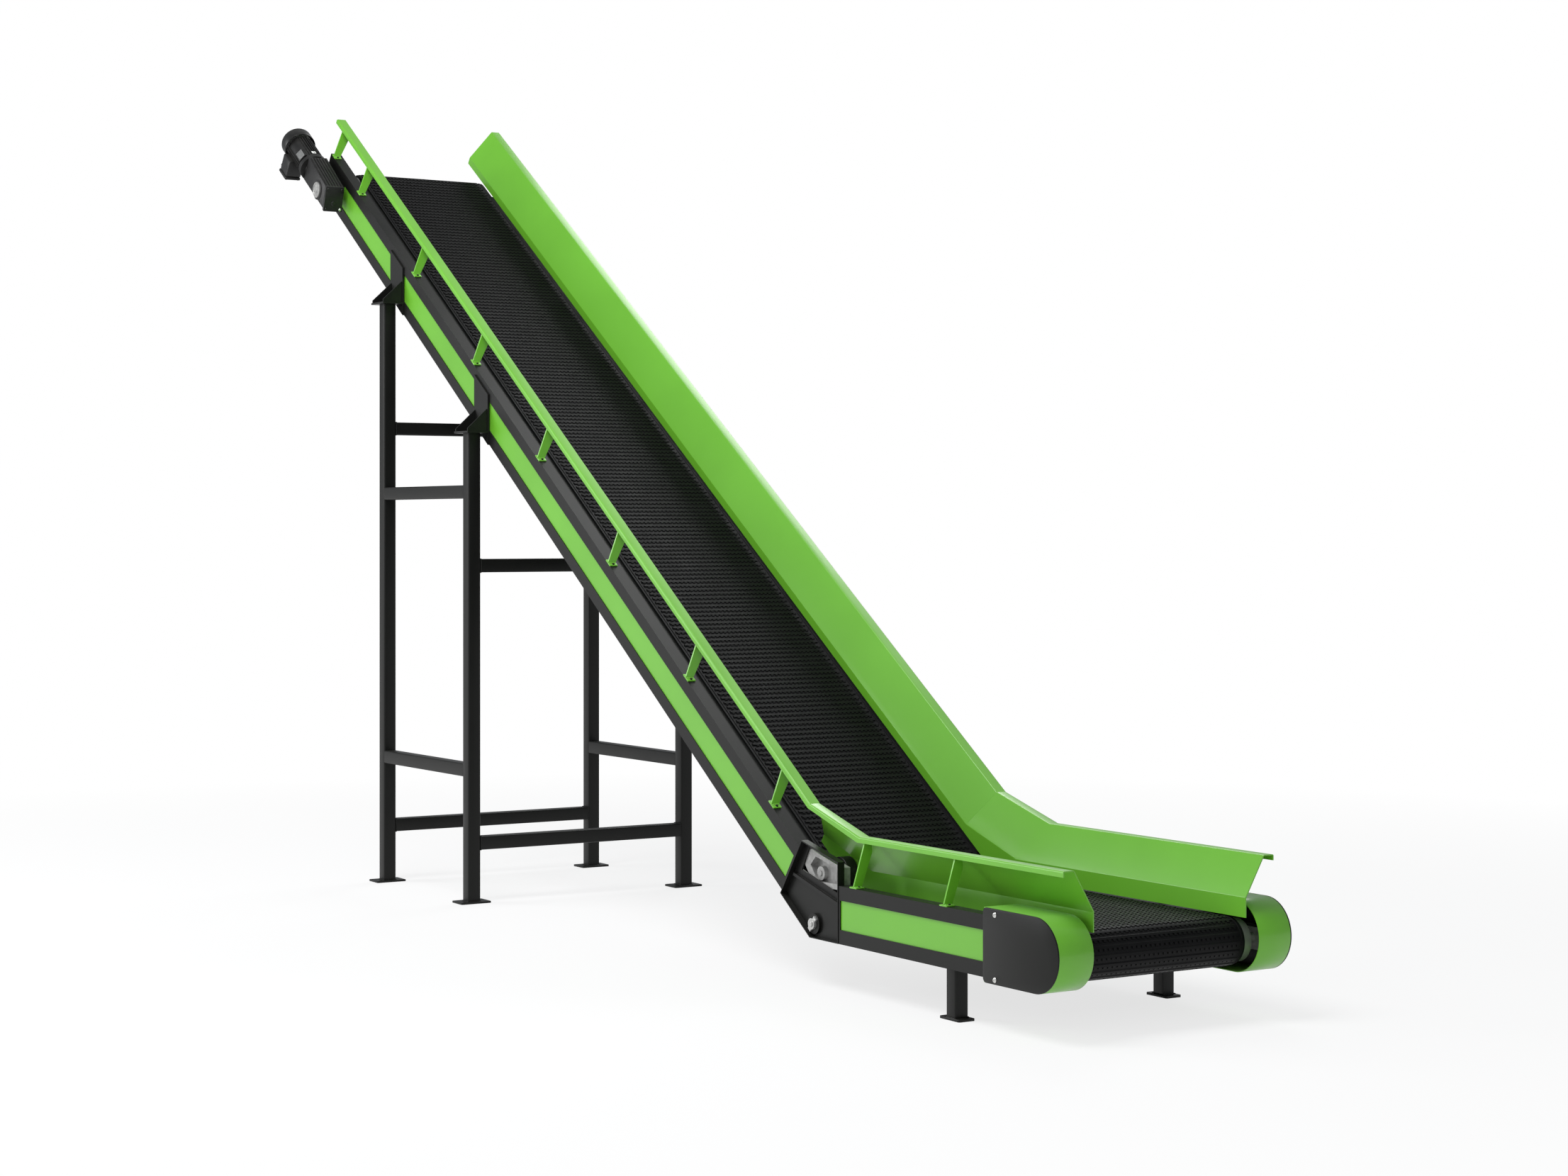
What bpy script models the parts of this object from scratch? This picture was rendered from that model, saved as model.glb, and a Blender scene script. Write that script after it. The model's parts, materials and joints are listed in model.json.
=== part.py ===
"""Inclined belt conveyor with a level infeed, a bend and a long climb to the head.

Run it with blender --background --python part.py, or from the text editor.
Metres, +Z up, +X the way the load travels, +Y the side that carries the gearmotor.

Everything hangs on two guide empties that meet at the bend of the side frames' top edge:
infeed_line runs level and incline_line climbs. Under both, x is the distance along the
run (s in the names below), y the distance from the belt's centre line (w), and z the
height square to the run above the side frames' top edge (n).
"""

import math

import bmesh
import bpy
from mathutils import Matrix, Vector

# ---- driving dimensions -------------------------------------------------------------
INCLINE = math.radians(35.0)  # climb of the long run
INFEED_LENGTH = 1.462  # bend of the frame to the tail drum's axis
INCLINE_LENGTH = 6.33  # bend of the frame to the head drum's axis
BELT_WIDTH = 0.800
FRAME_TOP = 0.448  # infeed side frames' top edge above the floor

CLEAR = 0.0003  # gap between faces that seat on each other
TURN_CLEAR = 0.0005  # gap round a shaft in its bore
BELT_CLEAR = 0.001  # gap between the belt and what it runs on

# belt and what carries it
BELT_THICKNESS = 0.012  # carcass and the raised grip pattern
INFEED_BELT_DROP = 0.036  # belt top below the frame's top edge
INCLINE_BELT_DROP = 0.090
BED_SHEET = 0.004
BED_SETBACK = 0.027  # bed short of a drum's face, along the run
BED_INFEED_END = -0.150
BED_INCLINE_START = 0.240
TAIL_DRUM_RADIUS = 0.087
HEAD_DRUM_RADIUS = 0.088
DRUM_OVERHANG = 0.005  # head drum and rollers past each edge of the belt
TAIL_DRUM_OVERHANG = 0.042
DRUM_END_RECESS = 0.010
DRUM_RIM = 0.006  # wall of a drum's shell
DRUM_DISC = 0.012
DRUM_VENT_RADIUS = 0.006
SHAFT_RADIUS = 0.020
RETURN_ROLLER_RADIUS = 0.022
SNUB_ROLLER_RADIUS = 0.030
IDLER_PIN_RADIUS = 0.008
RETURN_RISE = 0.044  # outer face of the returning belt above the frame's lower edge
RETURN_ROLLER_STATIONS = (2.0, 4.2)
SNUB_BACKSET = 0.250  # snub roller's axis behind the head drum's
SNUB_RISE = 0.018  # snub roller's axis above the frame's lower edge
BEND_ROLLER_RADIUS = 0.045
BEND_ROLLER_PIN_RADIUS = 0.0125
BEND_ROLLER_AHEAD = 0.100  # axis ahead of the frame's bend
BEND_ROLLER_RISE = 0.059  # axis above the infeed frame's lower edge
HOLD_DOWN_RADIUS = 0.065
HOLD_DOWN_WIDTH = 0.053

# side frames
FRAME_HALF_WIDTH = 0.575
FRAME_DEPTH = 0.244
FRAME_SHEET = 0.005
FRAME_FLANGE = 0.060
BAND = 0.060  # black band left above and below the infill panel
PANEL_SHEET = 0.003
PANEL_LAP = 0.010
INFEED_FRAME_START = -1.148
INFEED_FRAME_END = -0.113
INCLINE_FRAME_START = 0.236
HEAD_SETBACK = 0.005  # frame's end short of the gearbox's rear face
HEAD_WEB = 0.180  # unpierced web behind the head drum's axis
WINDOW_MARGIN = 0.012

# guards
GUARD_SHEET = 0.005
SKIRT_INSET = 0.021  # skirt inside the belt's edge
GUARD_FLARE = 0.095  # how far the guard leans out from its skirt to its top
RAIL_INSET = 0.048  # rail's lip inside the frame's outer face
RAIL_LIP = 0.024
INFEED_GUARD = (-0.032, 0.048, 0.210)  # skirt's lower edge, its bend, the top flange
INCLINE_GUARD = (-0.068, -0.029, 0.153)
GUARD_TAIL_OVERHANG = 0.121  # guard past the tail drum's axis
GUARD_FOLD_START = -0.084
GUARD_SPLICE = 0.335
GUARD_HEAD_OVERHANG = 0.230
POST_PITCH = 0.905
FIRST_POST = 0.515
POST_COUNT = 7
END_POST = 6.375
INFEED_POSTS = (-0.225, -0.872)
POST_THICKNESS = 0.008
POST_WIDTH = 0.040
POST_INSET = 0.020  # post's inner edge from the frame flange's inner edge, at the foot
POST_FOOT = 0.050
FOOT_SHEET = 0.006

# bend
KNEE_PLATE_INSET = 0.030  # plate's inner face inside the frame's outer face
KNEE_PLATE_SHEET = 0.006
KNEE_RIM_DEPTH = 0.033
KNEE_RIM_SHEET = 0.004
KNEE_RISE = 0.099
KNEE_DROP = 0.018  # plate below the climbing frame's lower edge
KNEE_BOSS_RADIUS = 0.045
CARRIER_DEPTH = 0.040

# tail
COWL_RADIUS = 0.1465
COWL_SHEET = 0.004
COWL_GAP = 0.014  # cowl's inner edge past the belt's edge
COWL_NOSE_AHEAD = 0.018  # centre of the cowl's nose past the tail drum's axis
COWL_DROP = 0.1155
COWL_PLATE = 0.006
COWL_BOLT_RADIUS = 0.010
TAKE_UP_TRAVEL = 0.040
TAKE_UP_BLOCK = (0.100, 0.045, 0.090)  # along the run, across it, and high
TAKE_UP_GUIDE = 0.012
TAKE_UP_SCREW_RADIUS = 0.0075
TAKE_UP_SCREW_LENGTH = 0.165
CHEEK_SHEET = 0.010
CHEEK_LAP = 0.008  # cheek past the frame's end

# trestle and feet
LEG = 0.070
LEG_WALL = 0.004
LEG_GAP = 0.028  # leg's inner face beyond the frame's outer face
LEG_STATIONS = (3.268, 4.326)  # upstream and downstream legs ahead of the bend
SIDE_BAR_HEIGHTS = (0.690, 2.140)
LOW_BAR_HEIGHT = 0.310
HIGH_BAR_HEIGHTS = (1.755, 2.500)
FOOT_PLATE = (0.120, 0.170, 0.010)
INFEED_LEG = 0.064
INFEED_LEG_STATION = -0.904
INFEED_LEG_INSET = 0.045  # leg's centre inside the frame's outer face
INFEED_FOOT_PLATE = (0.135, 0.080, 0.010)
BRACKET_SHEET = 0.010
BRACKET_SEAT = 0.160  # bracket along the floor
BRACKET_TOP = 0.030  # back plate below the frame's top edge
BRACKET_REACH = 0.115
BRACKET_RIB = 0.130
BRACKET_RISE = 0.007  # leg's top above the frame's lower edge

# drive
GEARBOX_GAP = 0.025  # housing's inner face beyond the frame's outer face
GEARBOX_WIDTH = 0.115
GEARBOX_FRONT_TOP = (-0.250, -0.039)  # from the head shaft along the run, and above the frame's top
GEARBOX_FRONT_BOTTOM = (-0.295, -0.178)
GEARBOX_REAR = 0.095
GEARBOX_REAR_TOP = -0.021
GEARBOX_WALL = 0.014
OUTPUT_CASE_HALF = 0.050  # low part of the housing round the head shaft
OUTPUT_CASE_WIDTH = 0.040
OUTPUT_CASE_WALL = 0.006
WHEEL_RADIUS = 0.042
WHEEL_WIDTH = 0.020
HOLLOW_SHAFT_RADIUS = 0.030
COVER_RADIUS = 0.046
COVER_AT = (-0.145, -0.120)
COVER_HEIGHT = 0.009
TORQUE_ARM = (-0.160, -0.100, -0.160, -0.080)  # ends along the run, low and high edges
WORM_OFFSET = 0.086
WORM_RADIUS = 0.0195
WORM_HALF_LENGTH = 0.045
INPUT_BORE = 0.034
MOTOR_RADIUS = 0.080
MOTOR_FIN = 0.009
MOTOR_FINS = 28
MOTOR_BORE = 0.060
MOTOR_LENGTH = 0.255
MOTOR_FLANGE_RADIUS = 0.084
MOTOR_FLANGE_SHEET = 0.020
MOTOR_SHAFT_RADIUS = 0.012
ROTOR_RADIUS = 0.056
FAN_RADIUS = 0.077
FAN_WIDTH = 0.028
COWL_CAP_RADIUS = 0.092
COWL_CAP_LENGTH = 0.085
COWL_CAP_LAP = 0.014
COWL_CAP_WALL = 0.003
COWL_CAP_CHAMFER = 0.012
COWL_CAP_HOLE = 0.045
TERMINAL_BOX = (0.113, 0.095, 0.118)
TERMINAL_BOX_AT = (0.120, 0.0075, -0.035)  # past the motor's flange, off its axis, and below it
GLAND_INSET = 0.024
GLAND_RISE = 0.030
BEARING_FLANGE = 0.110
BEARING_SHEET = 0.014
HEAD_SHAFT_PROUD = 0.031  # plain end of the head shaft beyond the frame's outer face

ROUND = 32  # sides of a drum
SMALL_ROUND = 20  # sides of a pin, boss or bolt
BELT_STEP = math.radians(9.0)  # turn between the belt's points round a drum

COLOURS = {
    "green paint": ((0.19, 0.48, 0.05), 0.32, 0.0),
    "black paint": ((0.021, 0.021, 0.020), 0.42, 0.0),
    "belt rubber": ((0.010, 0.010, 0.011), 0.62, 0.0),
    "bare steel": ((0.42, 0.42, 0.41), 0.38, 0.9),
    "cast grey": ((0.32, 0.32, 0.31), 0.55, 0.6),
    "motor enamel": ((0.035, 0.036, 0.035), 0.45, 0.1),
    "black plastic": ((0.015, 0.015, 0.015), 0.50, 0.0),
}


# ---- small tools --------------------------------------------------------------------
def material(name):
    """The finish of that name, made once."""
    found = bpy.data.materials.get(name)
    if found:
        return found
    colour, roughness, metallic = COLOURS[name]
    made = bpy.data.materials.new(name)
    made.use_nodes = True
    shader = made.node_tree.nodes["Principled BSDF"]
    shader.inputs["Base Color"].default_value = (*colour, 1.0)
    shader.inputs["Roughness"].default_value = roughness
    shader.inputs["Metallic"].default_value = metallic
    made.diffuse_color = (*colour, 1.0)
    return made


def empty(name, parent=None, location=(0.0, 0.0, 0.0), tilt=0.0):
    """A guide that pieces hang on."""
    made = bpy.data.objects.new(name, None)
    bpy.context.scene.collection.objects.link(made)
    made.parent = parent
    made.location = location
    made.rotation_euler = (0.0, -tilt, 0.0)
    return made


def link(name, shape, parent, location):
    """An object that holds the shape, shaded smooth between its sharp edges."""
    bmesh.ops.recalc_face_normals(shape, faces=shape.faces)
    mesh = bpy.data.meshes.new(name)
    shape.to_mesh(mesh)
    shape.free()
    mesh.shade_smooth()
    mesh.set_sharp_from_angle(angle=math.radians(30.0))
    made = bpy.data.objects.new(name, mesh)
    bpy.context.scene.collection.objects.link(made)
    made.parent = parent
    made.location = location
    return made


def piece(name, finish, parent, base, add=(), cut=(), at=(0.0, 0.0, 0.0)):
    """A named piece: its base shape, the shapes welded to it, less the shapes cut from it."""
    made = link(name, base, parent, at)
    made.data.materials.append(material(finish))
    for operation, shapes in (("UNION", add), ("DIFFERENCE", cut)):
        for number, shape in enumerate(shapes):
            helper = link(f"{name}.{operation.lower()}.{number}", shape, parent, at)
            helper.hide_render = True
            helper.display_type = "WIRE"
            boolean = made.modifiers.new(helper.name, "BOOLEAN")
            boolean.operation = operation
            boolean.solver = "EXACT"
            boolean.object = helper
    return made


def loft(loops):
    """A closed solid through loops of as many points each, with a face over both ends."""
    shape = bmesh.new()
    rings = [[shape.verts.new(point) for point in loop] for loop in loops]
    for first, second in zip(rings, rings[1:]):
        for i in range(len(first)):
            j = (i + 1) % len(first)
            shape.faces.new((first[i], first[j], second[j], second[i]))
    shape.faces.new(rings[0][::-1])
    shape.faces.new(rings[-1])
    return shape


def box(low, high):
    """A box between two corners."""
    base = [(low[0], low[1]), (high[0], low[1]), (high[0], high[1]), (low[0], high[1])]
    return loft([[(x, y, z) for x, y in base] for z in sorted((low[2], high[2]))])


def plate(outline, first, second):
    """An outline in x and z, made solid between two y values."""
    return loft([[(x, y, z) for x, z in outline] for y in (first, second)])


def bar(outline, first, second):
    """An outline in y and z, made solid between two x values."""
    return loft([[(x, y, z) for y, z in outline] for x in (first, second)])


def turned(profile, sides=ROUND, axis="Y", centre=(0.0, 0.0, 0.0)):
    """A profile of (radius, place along the axis), turned round Y or X through a centre.

    A profile that starts and ends on the axis is solid; any other closes on itself.
    """
    shape = bmesh.new()
    solid = profile[0][0] == 0.0
    centre = Vector(centre)
    rings = []
    for radius, along in profile:
        points = []
        for i in range(sides if radius > 0.0 else 1):
            turn = 2.0 * math.pi * i / sides
            u, v = radius * math.cos(turn), radius * math.sin(turn)
            offset = (u, along, v) if axis == "Y" else (along, u, v)
            points.append(shape.verts.new(centre + Vector(offset)))
        rings.append(points)
    pairs = list(zip(rings, rings[1:]))
    if not solid:
        pairs.append((rings[-1], rings[0]))
    for first, second in pairs:
        for i in range(sides):
            j = (i + 1) % sides
            corners = [first[i % len(first)], first[j % len(first)]]
            corners += [second[j % len(second)], second[i % len(second)]]
            unique = list(dict.fromkeys(corners))
            if len(unique) > 2:
                shape.faces.new(unique)
    return shape


def rod(radius, first, second, axis="Y", centre=(0.0, 0.0, 0.0), sides=SMALL_ROUND):
    """A plain cylinder along an axis."""
    profile = [(0.0, first), (radius, first), (radius, second), (0.0, second)]
    return turned(profile, sides, axis, centre)


def sheet_outline(line, thickness):
    """A bent sheet's outline: the line, and the line set over to its right."""
    offset = []
    for i, point in enumerate(line):
        here = Vector(point)
        normals = []
        for a, b in ((i - 1, i), (i, i + 1)):
            if 0 <= a and b < len(line):
                along = (Vector(line[b]) - Vector(line[a])).normalized()
                normals.append(Vector((along.y, -along.x)))
        mitre = sum(normals, Vector((0.0, 0.0))).normalized()
        offset.append(here + mitre * (thickness / mitre.dot(normals[0])))
    return [tuple(p) for p in line] + [tuple(p) for p in reversed(offset)]


def arc(centre, radius, start, end, steps):
    """Points along an arc, angles in degrees from +x towards +z."""
    points = []
    for i in range(steps + 1):
        turn = math.radians(start + (end - start) * i / steps)
        points.append((centre[0] + radius * math.cos(turn), centre[1] + radius * math.sin(turn)))
    return points


def climbed(s, n):
    """Where a place on the climbing run lies on the level run's x and z."""
    return (
        s * math.cos(INCLINE) - n * math.sin(INCLINE),
        s * math.sin(INCLINE) + n * math.cos(INCLINE),
    )


def mirrored(shape, side):
    """The shape, turned over to the other side of the centre line where side is -1."""
    if side < 0:
        bmesh.ops.transform(shape, matrix=Matrix.Scale(-1.0, 4, (0.0, 1.0, 0.0)), verts=shape.verts)
    return shape


def sided(name, finish, parent, side, base, add=(), cut=(), at=(0.0, 0.0, 0.0)):
    """A piece modelled on the left, made for either side."""
    label = "left" if side > 0 else "right"
    shapes = [mirrored(shape, side) for shape in (base, *add, *cut)]
    split = 1 + len(add)
    place = (at[0], at[1] * side, at[2])
    return piece(f"{name}_{label}", finish, parent, shapes[0], shapes[1:split], shapes[split:], place)


# ---- places worked out from the driving dimensions ----------------------------------
BELT_HALF_WIDTH = BELT_WIDTH / 2.0
DRUM_HALF_WIDTH = BELT_HALF_WIDTH + DRUM_OVERHANG
WEB_INNER = FRAME_HALF_WIDTH - FRAME_SHEET
FLANGE_EDGE = FRAME_HALF_WIDTH - FRAME_FLANGE
HEAD_FRAME_END = INCLINE_LENGTH + GEARBOX_REAR - HEAD_SETBACK
CHEEK_INNER = FRAME_HALF_WIDTH - CHEEK_SHEET
KNEE_PLATE_FACE = FRAME_HALF_WIDTH - KNEE_PLATE_INSET
LEG_HALF_WIDTH = FRAME_HALF_WIDTH + LEG_GAP + LEG / 2.0
INFEED_LEG_HALF_WIDTH = FRAME_HALF_WIDTH - INFEED_LEG_INSET
SKIRT_HALF_WIDTH = BELT_HALF_WIDTH - SKIRT_INSET
GUARD_TOP_HALF_WIDTH = SKIRT_HALF_WIDTH + GUARD_FLARE
RAIL_HALF_WIDTH = FRAME_HALF_WIDTH - RAIL_INSET
COWL_INNER = BELT_HALF_WIDTH + COWL_GAP
HEAD_SHAFT_REACH = FRAME_HALF_WIDTH + HEAD_SHAFT_PROUD
GEARBOX_BACK = FRAME_HALF_WIDTH + GEARBOX_GAP
TAIL_DROP = INFEED_BELT_DROP + BELT_THICKNESS + BELT_CLEAR + TAIL_DRUM_RADIUS
HEAD_DROP = INCLINE_BELT_DROP + BELT_THICKNESS + BELT_CLEAR + HEAD_DRUM_RADIUS
WINDOW_TOP = -BAND
WINDOW_BOTTOM = BAND - FRAME_DEPTH
RETURN_ROLLER_DROP = FRAME_DEPTH - RETURN_RISE + BELT_CLEAR + RETURN_ROLLER_RADIUS
SNUB_DROP = FRAME_DEPTH - SNUB_RISE
BEND_ROLLER_AT = (BEND_ROLLER_AHEAD, BEND_ROLLER_RISE - FRAME_DEPTH)
GUARD_HEAD_END = INCLINE_LENGTH + GUARD_HEAD_OVERHANG
GEARBOX_OUTER = GEARBOX_BACK + GEARBOX_WIDTH
MOTOR_OFFSET = GEARBOX_BACK + GEARBOX_WIDTH / 2.0
SHAFT_END = GEARBOX_BACK + OUTPUT_CASE_WIDTH - OUTPUT_CASE_WALL - 2.0 * TURN_CLEAR


def hold_down_centre():
    """The hold-down wheel's axis: it touches the belt on the level and on the climb."""
    reach = HOLD_DOWN_RADIUS + BELT_CLEAR
    z = reach - INFEED_BELT_DROP
    n = reach - INCLINE_BELT_DROP
    x = (z * math.cos(INCLINE) - n) / math.sin(INCLINE)
    return x, z


def belt_wheels():
    """What the belt runs round, in order: centre, and radius to the belt's middle layer.

    A radius is negative where the belt passes with its outer face against the wheel.
    """
    half = BELT_CLEAR + BELT_THICKNESS / 2.0
    snub = climbed(INCLINE_LENGTH - SNUB_BACKSET, -SNUB_DROP)
    wheels = [
        ((-INFEED_LENGTH, -TAIL_DROP), TAIL_DRUM_RADIUS + half),
        (hold_down_centre(), -(HOLD_DOWN_RADIUS + half)),
        (climbed(INCLINE_LENGTH, -HEAD_DROP), HEAD_DRUM_RADIUS + half),
        (snub, -(SNUB_ROLLER_RADIUS + half)),
    ]
    for station in reversed(RETURN_ROLLER_STATIONS):
        wheels.append((climbed(station, -RETURN_ROLLER_DROP), -(RETURN_ROLLER_RADIUS + half)))
    wheels.append((BEND_ROLLER_AT, BEND_ROLLER_RADIUS + half))
    return wheels


def belt_line():
    """Points along the belt's middle layer, each with the normal to the belt's outer face."""
    wheels = belt_wheels()
    headings = []
    for i, (centre, radius) in enumerate(wheels):
        other, next_radius = wheels[(i + 1) % len(wheels)]
        gap = Vector(other) - Vector(centre)
        lean = math.asin((next_radius - radius) / gap.length)
        headings.append(math.atan2(gap.y, gap.x) + lean)
    line = []
    for i, (centre, radius) in enumerate(wheels):
        start, end = headings[i - 1], headings[i]
        turn = (end - start + math.pi) % (2.0 * math.pi) - math.pi
        if radius > 0.0 and turn > 0.0:
            turn -= 2.0 * math.pi
        steps = max(1, math.ceil(abs(turn) / BELT_STEP))
        for step in range(steps + 1):
            heading = start + turn * step / steps
            normal = Vector((-math.sin(heading), math.cos(heading)))
            line.append((Vector(centre) + normal * radius, normal))
    return line


# ---- belt, drums and rollers --------------------------------------------------------
def drum(name, finish, parent, radius, face, ends, at):
    """A hollow drum with recessed, vented end discs on a shaft that reaches to the two ends."""
    disc = face - DRUM_END_RECESS
    profile = [(0.0, ends[0]), (SHAFT_RADIUS, ends[0]), (SHAFT_RADIUS, -disc)]
    profile += [(radius - DRUM_RIM, -disc), (radius - DRUM_RIM, -face), (radius, -face)]
    profile += [(radius, face), (radius - DRUM_RIM, face), (radius - DRUM_RIM, disc)]
    profile += [(SHAFT_RADIUS, disc), (SHAFT_RADIUS, ends[1]), (0.0, ends[1])]
    inside = disc - DRUM_DISC
    hollow = [(SHAFT_RADIUS, -inside), (radius - DRUM_RIM, -inside)]
    hollow += [(radius - DRUM_RIM, inside), (SHAFT_RADIUS, inside)]
    vent_at = ((SHAFT_RADIUS + radius - DRUM_RIM) / 2.0, 0.0, 0.0)
    vent = rod(DRUM_VENT_RADIUS, -disc - 0.01, disc + 0.01, "Y", vent_at, 10)
    return piece(name, finish, parent, turned(profile), (), [turned(hollow), vent], at)


def roller(name, parent, radius, pin_radius, reach, at):
    """A plain roller with a stub pin at each end."""
    face = DRUM_HALF_WIDTH
    profile = [(0.0, -reach), (pin_radius, -reach), (pin_radius, -face), (radius, -face)]
    profile += [(radius, face), (pin_radius, face), (pin_radius, reach), (0.0, reach)]
    return piece(name, "bare steel", parent, turned(profile, 24), at=at)


def make_belt(level):
    """The belt, one endless band."""
    shape = bmesh.new()
    half = BELT_THICKNESS / 2.0
    rows = []
    for point, normal in belt_line():
        outer, inner = point + normal * half, point - normal * half
        corners = [(outer, -1), (outer, 1), (inner, 1), (inner, -1)]
        rows.append([shape.verts.new((p.x, side * BELT_HALF_WIDTH, p.y)) for p, side in corners])
    for i, row in enumerate(rows):
        following = rows[(i + 1) % len(rows)]
        for a in range(4):
            b = (a + 1) % 4
            shape.faces.new((row[a], row[b], following[b], following[a]))
    return piece("conveyor_belt", "belt rubber", level, shape)


def make_beds(level, climb):
    """Pressed trays that the carrying belt slides on, turned up against the side frames."""
    panel_inner = WEB_INNER - CLEAR - PANEL_SHEET
    cheek_edge = min(panel_inner, CHEEK_INNER) - CLEAR
    first = TAIL_DRUM_RADIUS + BED_SETBACK - INFEED_LENGTH
    last = INCLINE_LENGTH - HEAD_DRUM_RADIUS - BED_SETBACK
    stretches = (
        ("slider_bed_infeed", level, cheek_edge, INFEED_BELT_DROP, first, BED_INFEED_END),
        ("slider_bed_incline", climb, panel_inner - CLEAR, INCLINE_BELT_DROP, BED_INCLINE_START, last),
    )
    for name, line, edge, drop, start, end in stretches:
        top = -drop - BELT_THICKNESS - BELT_CLEAR
        rim = -BAND / 6.0
        inner = edge - BED_SHEET
        section = [(-edge, rim), (-edge, top - BED_SHEET), (edge, top - BED_SHEET), (edge, rim)]
        section += [(inner, rim), (inner, top), (-inner, top), (-inner, rim)]
        piece(name, "black paint", line, bar(section, start, end))


def make_rollers(climb, level):
    """The return rollers, the snub roller and the roller inside the bend."""
    reach = WEB_INNER - TURN_CLEAR
    for label, station in zip(("lower", "upper"), RETURN_ROLLER_STATIONS):
        roller(
            f"return_roller_{label}", climb, RETURN_ROLLER_RADIUS, IDLER_PIN_RADIUS, reach,
            (station, 0.0, -RETURN_ROLLER_DROP),
        )
    roller(
        "snub_roller", climb, SNUB_ROLLER_RADIUS, IDLER_PIN_RADIUS, reach,
        (INCLINE_LENGTH - SNUB_BACKSET, 0.0, -SNUB_DROP),
    )
    bearing_face = KNEE_PLATE_FACE + KNEE_PLATE_SHEET + 0.030
    roller(
        "knee_bend_roller", level, BEND_ROLLER_RADIUS, BEND_ROLLER_PIN_RADIUS, bearing_face,
        (BEND_ROLLER_AT[0], 0.0, BEND_ROLLER_AT[1]),
    )


# ---- side frames --------------------------------------------------------------------
def channel_section():
    """Cross-section of a side frame: a channel that opens towards the belt."""
    outer, inner, edge = FRAME_HALF_WIDTH, WEB_INNER, FLANGE_EDGE
    low, sheet = -FRAME_DEPTH, FRAME_SHEET
    return [
        (outer, 0.0), (outer, low), (edge, low), (edge, low + sheet),
        (inner, low + sheet), (inner, -sheet), (edge, -sheet), (edge, 0.0),
    ]


def window(start, end):
    """The opening in a side frame's web that shows the infill panel."""
    low = (start, WEB_INNER - 0.01, WINDOW_BOTTOM)
    return box(low, (end, FRAME_HALF_WIDTH + 0.01, WINDOW_TOP))


def make_infill(name, line, side, start, end):
    """A panel behind a side frame's window."""
    outer = WEB_INNER - CLEAR
    low = (start, outer - PANEL_SHEET, WINDOW_BOTTOM - PANEL_LAP)
    high = (end, outer, WINDOW_TOP + PANEL_LAP)
    sided(name, "green paint", line, side, box(low, high))


def make_infeed_frame(level, side):
    """The level side frame, with the tail's cheek, the take-up guides and the screw's lug."""
    start, end = INFEED_FRAME_START, INFEED_FRAME_END
    opening = (start + 0.002, end - WINDOW_MARGIN)
    tail = -INFEED_LENGTH
    cheek = [
        (start + CHEEK_LAP, 0.018), (start - 0.125, 0.018), (tail - 0.100, -0.035),
        (tail - 0.100, -0.200), (start - 0.125, -0.250), (start + CHEEK_LAP, -0.250),
    ]
    length, width, height = TAKE_UP_BLOCK
    block_low = CHEEK_INNER - TURN_CLEAR - width
    first, last = tail - length / 2.0 - 0.030, tail + length / 2.0 + TAKE_UP_TRAVEL + 0.030
    add = [plate(cheek, CHEEK_INNER, FRAME_HALF_WIDTH)]
    for sign in (-1.0, 1.0):
        near = -TAIL_DROP + sign * (height / 2.0 + TURN_CLEAR)
        far = near + sign * TAKE_UP_GUIDE
        low, high = min(near, far), max(near, far)
        add.append(box((first, block_low, low), (last, CHEEK_INNER + 0.002, high)))
    middle = CHEEK_INNER - TURN_CLEAR - width / 2.0
    lug_low = (last - 0.002, block_low, -TAIL_DROP - height / 2.0 - TAKE_UP_GUIDE)
    lug_high = (last + 0.012, CHEEK_INNER + 0.002, -TAIL_DROP + height / 2.0 + TAKE_UP_GUIDE)
    add.append(box(lug_low, lug_high))
    screw_bore = TAKE_UP_SCREW_RADIUS + 2.0 * TURN_CLEAR
    bore = rod(screw_bore, last - 0.01, last + 0.02, "X", (0.0, middle, -TAIL_DROP), 16)
    sided(
        "side_frame_infeed", "black paint", level, side, bar(channel_section(), start, end),
        add, [window(*opening), bore],
    )
    first = start + CHEEK_LAP + CLEAR
    make_infill("infill_panel_infeed", level, side, first, opening[1] + PANEL_LAP)


def make_incline_frame(climb, side):
    """The climbing side frame, with the head shaft's hole."""
    start, end = INCLINE_FRAME_START, HEAD_FRAME_END
    opening = (start + WINDOW_MARGIN, INCLINE_LENGTH - HEAD_WEB)
    shaft = rod(
        SHAFT_RADIUS + 0.006, WEB_INNER - 0.02, FRAME_HALF_WIDTH + 0.02, "Y",
        (INCLINE_LENGTH, 0.0, -HEAD_DROP),
    )
    sided(
        "side_frame_incline", "black paint", climb, side, bar(channel_section(), start, end),
        (), [window(*opening), shaft],
    )
    first, last = opening[0] - PANEL_LAP, opening[1] + PANEL_LAP
    make_infill("infill_panel_incline", climb, side, first, last)


# ---- bend ---------------------------------------------------------------------------
def knee_outline(inset=0.0):
    """Outline of the plate that joins the two runs, in x and z of the level run."""
    side_x = INFEED_FRAME_END + CLEAR + inset
    bottom = inset - FRAME_DEPTH
    low = bottom - KNEE_DROP
    left = climbed(INCLINE_FRAME_START - CLEAR - inset, low)
    corner = ((bottom * math.cos(INCLINE) - low) / math.sin(INCLINE), bottom)
    top_left = climbed(INCLINE_FRAME_START - CLEAR - inset, 0.037 - inset)
    top_right = (side_x, KNEE_RISE - inset)
    return [top_right, (side_x, bottom), corner, left, top_left]


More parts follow.
